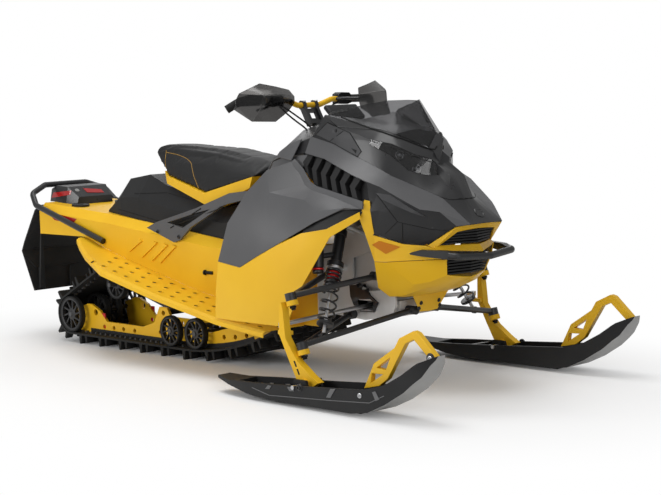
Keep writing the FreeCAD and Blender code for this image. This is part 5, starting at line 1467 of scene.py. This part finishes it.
@dataclass
class TrackTrim(Assembly):
    """Extra rows of lug fingers between the main lugs, clips along the loop and shoes under the rails.

    The belt's inner loop wraps CIRCLES of (x, z, radius). FINGER, CLIP and SHOE are lengths along the
    track, widths across it and heights.

    Attributes:
        thickness: Thickness of the belt.
        rows: Number of rows round the loop.
    """

    thickness: float = 8.0
    rows: int = 50
    CIRCLES = ((-1110.0, 128.0, 82.0), (-300.0, 1346.0, 1300.0), (395.0, 345.0, 86.0), (-860.0, 272.0, 68.0))
    FINGER_ROWS = ((-138.0, -70.0, 0.0, 70.0, 138.0), (-168.0, -104.0, -34.0, 34.0, 104.0, 168.0))
    FINGER, CLIP, SHOE = (17.0, 38.0, 34.0), (11.0, 16.0, -9.0), (37.2, 2.4, -20.0)
    CLIP_ROWS, SHOE_ROWS = (-150.0, 150.0), (-141.0, 141.0)
    FINGER_TAPER, CLIP_TAPER, SIDE_TAPER = 0.55, 0.5, 0.9
    SHOE_OFFSET = -2.0
    CLIPS_END = -330.0
    SHOES_START, SHOES_END, SHOES_TOP = -1010.0, 100.0, 150.0

    def stations(self, count: int, offset: float, shift: float = 0.0) -> list[Point]:
        """Evenly spaced places round the loop.

        Args:
            count: How many.
            offset: Distance outwards from the belt's inner face.
            shift: Share of a step that the first place is moved on.

        Returns:
            Places as (x, z, heading), in millimetres and radians.
        """
        circles = [(x, z, radius + offset) for x, z, radius in self.CIRCLES]
        following = circles[1:] + circles[:1]
        runs = []
        for (x0, z0, r0), (x1, z1, r1) in zip(circles, following):
            angle = math.atan2(z1 - z0, x1 - x0) + math.asin((r0 - r1) / math.hypot(x1 - x0, z1 - z0))
            start, end = ((x + r * math.sin(angle), z - r * math.cos(angle))
                          for x, z, r in ((x0, z0, r0), (x1, z1, r1)))
            runs.append((start, end, angle))
        spans = []
        for (start, end, angle), (x, z, radius), (_, _, onward) in zip(runs, following, runs[1:] + runs[:1]):
            spans.append((math.dist(start, end), start, angle, 0.0))
            spans.append(((onward - angle) % math.tau * radius, (x, z), angle, radius))
        total = sum(span[0] for span in spans)
        places = []
        for number in range(count):
            along = total * (number + shift) / count
            for length, (x, z), angle, radius in spans:
                if along > length:
                    along -= length
                    continue
                if radius == 0.0:
                    places.append((x + along * math.cos(angle), z + along * math.sin(angle), angle))
                else:
                    heading = angle + along / radius
                    places.append((x + radius * math.sin(heading), z - radius * math.cos(heading), heading))
                break
        return places

    def add_lug(self, bm: BMesh, station: Point, y: float, size: Point, taper: float) -> None:
        """Adds a tapered block that stands out from the belt.

        Args:
            bm: The mesh.
            station: Its place (x, z, heading).
            y: Its place across the track.
            size: Length along the track, width across it and height, negative on the inner side.
            taper: Share of the length that is left at its tip.
        """
        x, z, heading = station
        verts = bmesh.ops.create_cube(bm, size=1.0)["verts"]
        tips = [vert for vert in verts if vert.co.z < 0]
        bmesh.ops.translate(bm, vec=(0.0, 0.0, -0.5), verts=verts)
        bmesh.ops.scale(bm, vec=millimetres(*size), verts=verts)
        bmesh.ops.scale(bm, vec=(taper, self.SIDE_TAPER, 1.0), verts=tips)
        bmesh.ops.translate(bm, vec=millimetres(0.0, 0.0, math.copysign(1.0, size[2])), verts=verts)
        bmesh.ops.rotate(bm, cent=MIDDLE, matrix=Matrix.Rotation(-heading, 3, "Y"), verts=verts)
        bmesh.ops.translate(bm, vec=millimetres(x, y, z), verts=verts)

    def build(self) -> None:
        """Makes the fingers, the shoes and the clips."""
        fingers, shoes, clips = (bmesh.new() for _ in range(3))
        for number, station in enumerate(self.stations(self.rows, self.thickness, 0.5)):
            for y in self.FINGER_ROWS[number % 2]:
                self.add_lug(fingers, station, y, self.FINGER, self.FINGER_TAPER)
        for station in self.stations(self.rows * 2, 0.0):
            if station[0] <= self.CLIPS_END:
                for y in self.CLIP_ROWS:
                    self.add_lug(clips, station, y, self.CLIP, self.CLIP_TAPER)
        for station in self.stations(self.rows * 2, self.SHOE_OFFSET):
            if self.SHOES_START < station[0] < self.SHOES_END and station[1] < self.SHOES_TOP:
                for y in self.SHOE_ROWS:
                    self.add_lug(shoes, station, y, self.SHOE, 1.0)
        for name, bm, finish in (("track_fingers", fingers, TRACK_RUBBER),
                                 ("rail_shoes", shoes, BLACK_PLASTIC), ("track_clips", clips, DARK_ALLOY)):
            bmesh.ops.recalc_face_normals(bm, faces=bm.faces)
            self.shop.piece(name, bm, finish, smooth=None)


@dataclass
class SkiTrim(Assembly):
    """Skis with lighter undersides, side ribs and fasteners, placed on the near ski and mirrored.

    Attributes:
        underside_slope: Faces whose normal's z is lower belong to the underside.
        underside_start: The lighter underside begins at this x.
    """

    underside_slope: float = -0.2
    underside_start: float = 1.12
    SKIS = (("ski_left", Body.LEFT_SKI), ("ski_right", Body.RIGHT_SKI))
    RIBS = (
        ((265.3, 388.8), (270.4, 382.7), (273.9, 382.9), (269.4, 389.0)),
        ((285.7, 383.8), (289.8, 383.9), (294.3, 391.2), (289.8, 391.0)),
        ((330.6, 388.8), (335.7, 388.8), (330.6, 397.8), (326.5, 397.4)),
        ((372.4, 392.2), (375.5, 391.2), (379.6, 399.4), (375.9, 401.0)),
    )
    BLACK_BOLT = (299.6, 387.6)
    WHITE_BOLT = (359.6, 395.7)
    TIP_BOLT = (430.5, 358.5)
    KEEL_LINE = ((252.0, 387.5), (269.4, 395.3), (330.6, 400.5), (369.4, 403.0), (384.0, 396.0))
    KINGPIN = ((730.4, -522.0, 360.0), (782.0, -522.0, 188.0))
    SPINDLE_SLOTS = (((293.4, 361.0), (294.9, 360.8), (297.0, 366.6), (295.6, 367.0)),
                     ((296.4, 369.0), (297.9, 368.8), (300.0, 374.6), (298.6, 375.0)))
    WASHER = ((0.0, 3.0), (16.0, 3.0), (18.0, 1.0), (18.0, -1.0), (0.0, -1.0))
    NUT = ((0.0, 0.0), (11.0, 0.0), (12.0, 2.0), (12.0, 7.0), (8.0, 9.0), (8.0, 14.0), (0.0, 14.0))
    NUT_DROP = 20.0

    def build(self) -> None:
        """Dresses both skis and spindles."""
        for node, body in self.SKIS:
            ski = self.shop.softened(node, BLACK_PLASTIC, body=body, round_off=2.0)
            ski.data.materials.append(self.shop.material(SKI_UNDERSIDE))
            for face in ski.data.polygons:
                if face.normal.z < self.underside_slope and face.center.x > self.underside_start:
                    face.material_index = 1
        ribs, studs, screws, slots = (bmesh.new() for _ in range(4))
        self.plates(ribs, ("ski_right",), self.RIBS, 2.2, 1.0)
        self.strips(ribs, ("ski_right",), (self.KEEL_LINE,), 1.6)
        self.bolts(studs, ("ski_right",), (self.BLACK_BOLT,), 13.0)
        self.bolts(screws, ("ski_right",), (self.WHITE_BOLT,), 9.0)
        place, normal = self.sight.hit(("ski_loop_right",), self.TIP_BOLT)
        add_bolt(screws, place + normal * self.WASHER[0][1] * MM, normal, 9.0)
        add_lathe(studs, self.WASHER, place, normal)
        # The near-black plates over the spindle's slots are painted shade; the kingpin nuts below are real
        # parts.
        for outline in self.SPINDLE_SLOTS:
            add_patch(slots, self.sight, ("spindle_right",), outline, 0.4, 1.0, step=2.0)
        high, low = (millimetres(*point) for point in self.KINGPIN)
        down = (low - high).normalized()
        for place in (high, low):
            add_lathe(slots, self.NUT, place + down * self.NUT_DROP * MM, down, 6)
        skis, spindles = (Body.LEFT_SKI, Body.RIGHT_SKI), (Body.LEFT_SPINDLE, Body.RIGHT_SPINDLE)
        for name, bm, finish, (left, right) in (("ski_ribs", ribs, SKI_RIB, skis),
                                                ("ski_studs", faces_outwards(studs), BLACK_PAINT, skis),
                                                ("ski_screws", faces_outwards(screws), STEEL, skis),
                                                ("spindle_slot_shade_and_nuts", slots, SEAL_AND_SHADE, spindles)):
            self.shop.piece(name + "_left", other_side(bm), finish, left)
            self.shop.piece(name + "_right", bm, finish, right)


@dataclass
class BarTrim(Assembly):
    """Clamp bolts and the cables from the bars down to the console.

    Attributes:
        cable: Radius of a cable.
    """

    cable: float = 3.5
    ROUTES = (
        ((300.0, -150.0, 1047.0), (316.0, -122.0, 1026.0), (330.0, -88.0, 1000.0), (346.0, -60.0, 975.0),
         (362.0, -46.0, 952.0)),
        ((298.0, -154.0, 1043.0), (310.0, -130.0, 1016.0), (322.0, -98.0, 988.0), (338.0, -72.0, 964.0),
         (352.0, -58.0, 946.0)),
        ((300.0, 150.0, 1047.0), (318.0, 112.0, 1040.0), (334.0, 84.0, 1016.0), (344.0, 66.0, 984.0),
         (358.0, 54.0, 950.0)),
    )
    CLAMP_BOLTS = ((285.0, -32.0, 1060.0), (311.0, -32.0, 1060.0), (285.0, 32.0, 1060.0),
                   (311.0, 32.0, 1060.0))

    def build(self) -> None:
        """Makes the cables and the bolts."""
        cables = bmesh.new()
        for route in self.ROUTES:
            add_sweep(cables, smooth_route([millimetres(*point) for point in route]), self.cable, 8)
        piece = self.shop.piece("control_cables", cables, SEAL_AND_SHADE, body=None, smooth=60.0)
        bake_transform(piece)
        bolts = bmesh.new()
        for point in self.CLAMP_BOLTS:
            add_bolt(bolts, millimetres(*point), UPWARDS, 5.0)
        self.shop.piece("clamp_bolts", faces_outwards(bolts), STEEL, Body.STEERING)


@dataclass
class Cushion(Assembly):
    """The seat cushion: the CAD seat's form, swelled by a short cloth simulation, with its seams.

    Attributes:
        voxel: Size of the remeshing cells in metres.
        pressure: Pressure inside the cover.
        frames: Steps of the simulation.
        cap: The furthest that a point may move, in metres.
        shrink: How much smaller the form starts, in metres.
        smoothing: Passes that round its edges.
        seam_depth: Depth of a sewn seam in metres.
        seam_width: Half width of a sewn seam in metres.
        base_slope: Faces whose normal's z is lower are held to the seat's base.
        thread: Radius of the thread.
        thread_rise: Metres from the cover to the middle of the thread.
        easing: Passes that straighten the thread.
        channel_step: Metres between the places along a channel.
    """

    voxel: float = 0.007
    pressure: float = 4.0
    frames: int = 16
    cap: float = 0.007
    shrink: float = 0.003
    smoothing: int = 5
    seam_depth: float = 0.0035
    seam_width: float = 0.006
    base_slope: float = -0.6
    thread: float = 1.2
    thread_rise: float = 0.0006
    easing: int = 4
    channel_step: float = 0.01
    SIDE_SEAM = ((165.2, 151.5), (176.0, 153.6), (185.2, 156.8), (191.5, 163.1), (197.0, 189.0))
    REAR_SEAM = ((165.2, 149.6), (164.6, 160.0), (164.8, 169.0))
    CHANNELS = (-0.33, -0.26, -0.19, -0.12, -0.05, 0.02)

    def build(self) -> None:
        sewn = [self.sight.trace(("seat",), line, 1.0) for line in (self.SIDE_SEAM, self.REAR_SEAM)]
        sewn += [[Vector((place.x, -place.y, place.z)) for place in seam] for seam in sewn]
        channels = [[self.sight.drop(("seat",), x, self.channel_step * number)[0] for number in range(-9, 10)]
                    for x in self.CHANNELS]
        cushion = self.swelled()
        self.press_seams(cushion, sewn + channels)
        subdivision = cushion.modifiers.new("smooth_cover", "SUBSURF")
        subdivision.levels = 1
        subdivision.render_levels = 1
        self.stitching(cushion, sewn)

    def swelled(self) -> bpy.types.Object:
        """Makes the padded form.

        Returns:
            The cushion, which replaces the CAD seat.
        """
        bm = self.shop.copied("seat")
        bm.normal_update()
        for vert in bm.verts:
            vert.co -= vert.normal * self.shrink
        cushion = self.shop.piece("seat_cushion", bm, SEAT_LEATHER, smooth=60.0, replaces=("seat",))
        remesh = cushion.modifiers.new("even_cells", "REMESH")
        remesh.mode = "VOXEL"
        remesh.voxel_size = self.voxel
        remesh.use_smooth_shade = True
        self.settle(cushion)
        self.round_off(cushion)
        rest = [vert.co.copy() for vert in cushion.data.vertices]
        self.inflate(cushion)
        for vert, start in zip(cushion.data.vertices, rest):
            moved = vert.co - start
            if moved.length > self.cap:
                vert.co = start + moved.normalized() * self.cap
        return cushion

    def inflate(self, cushion: bpy.types.Object) -> None:
        """Swells the cover by the cloth simulation, with its base held.

        Args:
            cushion: The cushion.
        """
        held = cushion.vertex_groups.new(name="base")
        base = [vert.index for vert in cushion.data.vertices if vert.normal.z < self.base_slope]
        held.add(base, 1.0, "REPLACE")
        cloth = cushion.modifiers.new("cover", "CLOTH")
        settings = cloth.settings
        settings.use_pressure = True
        settings.uniform_pressure_force = self.pressure
        settings.effector_weights.gravity = 0.0
        settings.vertex_group_mass = "base"
        settings.quality = 5
        cloth.collision_settings.use_self_collision = False
        cloth.point_cache.frame_start = 1
        cloth.point_cache.frame_end = self.frames
        for frame in range(1, self.frames + 1):
            bpy.context.scene.frame_set(frame)
        self.settle(cushion)
        bpy.context.scene.frame_set(1)

    def round_off(self, cushion: bpy.types.Object) -> None:
        """Rounds the edges of the even mesh.

        Args:
            cushion: The cushion.
        """
        bm = bmesh.new()
        bm.from_mesh(cushion.data)
        for _ in range(self.smoothing):
            bmesh.ops.smooth_vert(bm, verts=bm.verts, factor=0.5, use_axis_x=True, use_axis_y=True,
                                  use_axis_z=True)
        bm.to_mesh(cushion.data)
        bm.free()

    @staticmethod
    def settle(cushion: bpy.types.Object) -> None:
        """Applies every modifier of the cushion to its mesh.

        Args:
            cushion: The cushion.
        """
        depsgraph = bpy.context.evaluated_depsgraph_get()
        mesh = bpy.data.meshes.new_from_object(cushion.evaluated_get(depsgraph))
        old = cushion.data
        cushion.modifiers.clear()
        cushion.data = mesh
        bpy.data.meshes.remove(old)
        mesh.name = cushion.name

    def press_seams(self, cushion: bpy.types.Object, seams: Sequence[Sequence[Vector]]) -> None:
        """Draws the cover in along its seams.

        Args:
            cushion: The cushion.
            seams: Places along each seam.
        """
        tree = KDTree(sum(len(seam) for seam in seams))
        for number, place in enumerate(place for seam in seams for place in seam):
            tree.insert(place, number)
        tree.balance()
        normals = [vert.normal.copy() for vert in cushion.data.vertices]
        for vert, normal in zip(cushion.data.vertices, normals):
            distance = tree.find(vert.co)[2]
            vert.co -= normal * self.seam_depth * math.exp(-(distance / self.seam_width) ** 2)

    def stitching(self, cushion: bpy.types.Object, seams: Sequence[Sequence[Vector]]) -> None:
        """Sews the coloured thread along the side and rear seams.

        Args:
            cushion: The finished cushion.
            seams: Places along each threaded seam.
        """
        bm = bmesh.new()
        bm.from_mesh(cushion.data)
        surface = BVHTree.FromBMesh(bm)
        bm.free()
        thread = bmesh.new()
        for seam in seams:
            route = []
            for place in seam:
                near, normal, _, _ = surface.find_nearest(place)
                route.append(near + normal * self.thread_rise)
            for _ in range(self.easing):
                route[1:-1] = [(a + b + c) / 3 for a, b, c in zip(route, route[1:], route[2:])]
            add_sweep(thread, smooth_route(route, 2), self.thread)
        self.shop.piece("seat_stitching", thread, THREAD, smooth=60.0)


def main() -> None:
    """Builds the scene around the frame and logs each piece."""
    logging.basicConfig(level=logging.INFO, format="%(message)s")
    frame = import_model()
    shop = Workshop(frame, Groups())
    camera = Camera()
    camera.build()
    Studio().build()
    sight = Sight(shop, camera)
    for kind in (Bodywork, Chassis, Skid, FrontEnd, Bars, BodyTrim, TunnelTrim, FrontShocks, SkidWheels,
                 TrackTrim, SkiTrim, BarTrim, Cushion):
        LOG.info("sub-assembly %s", kind.__name__)
        kind(shop, sight).build()


if __name__ == "__main__":
    main()
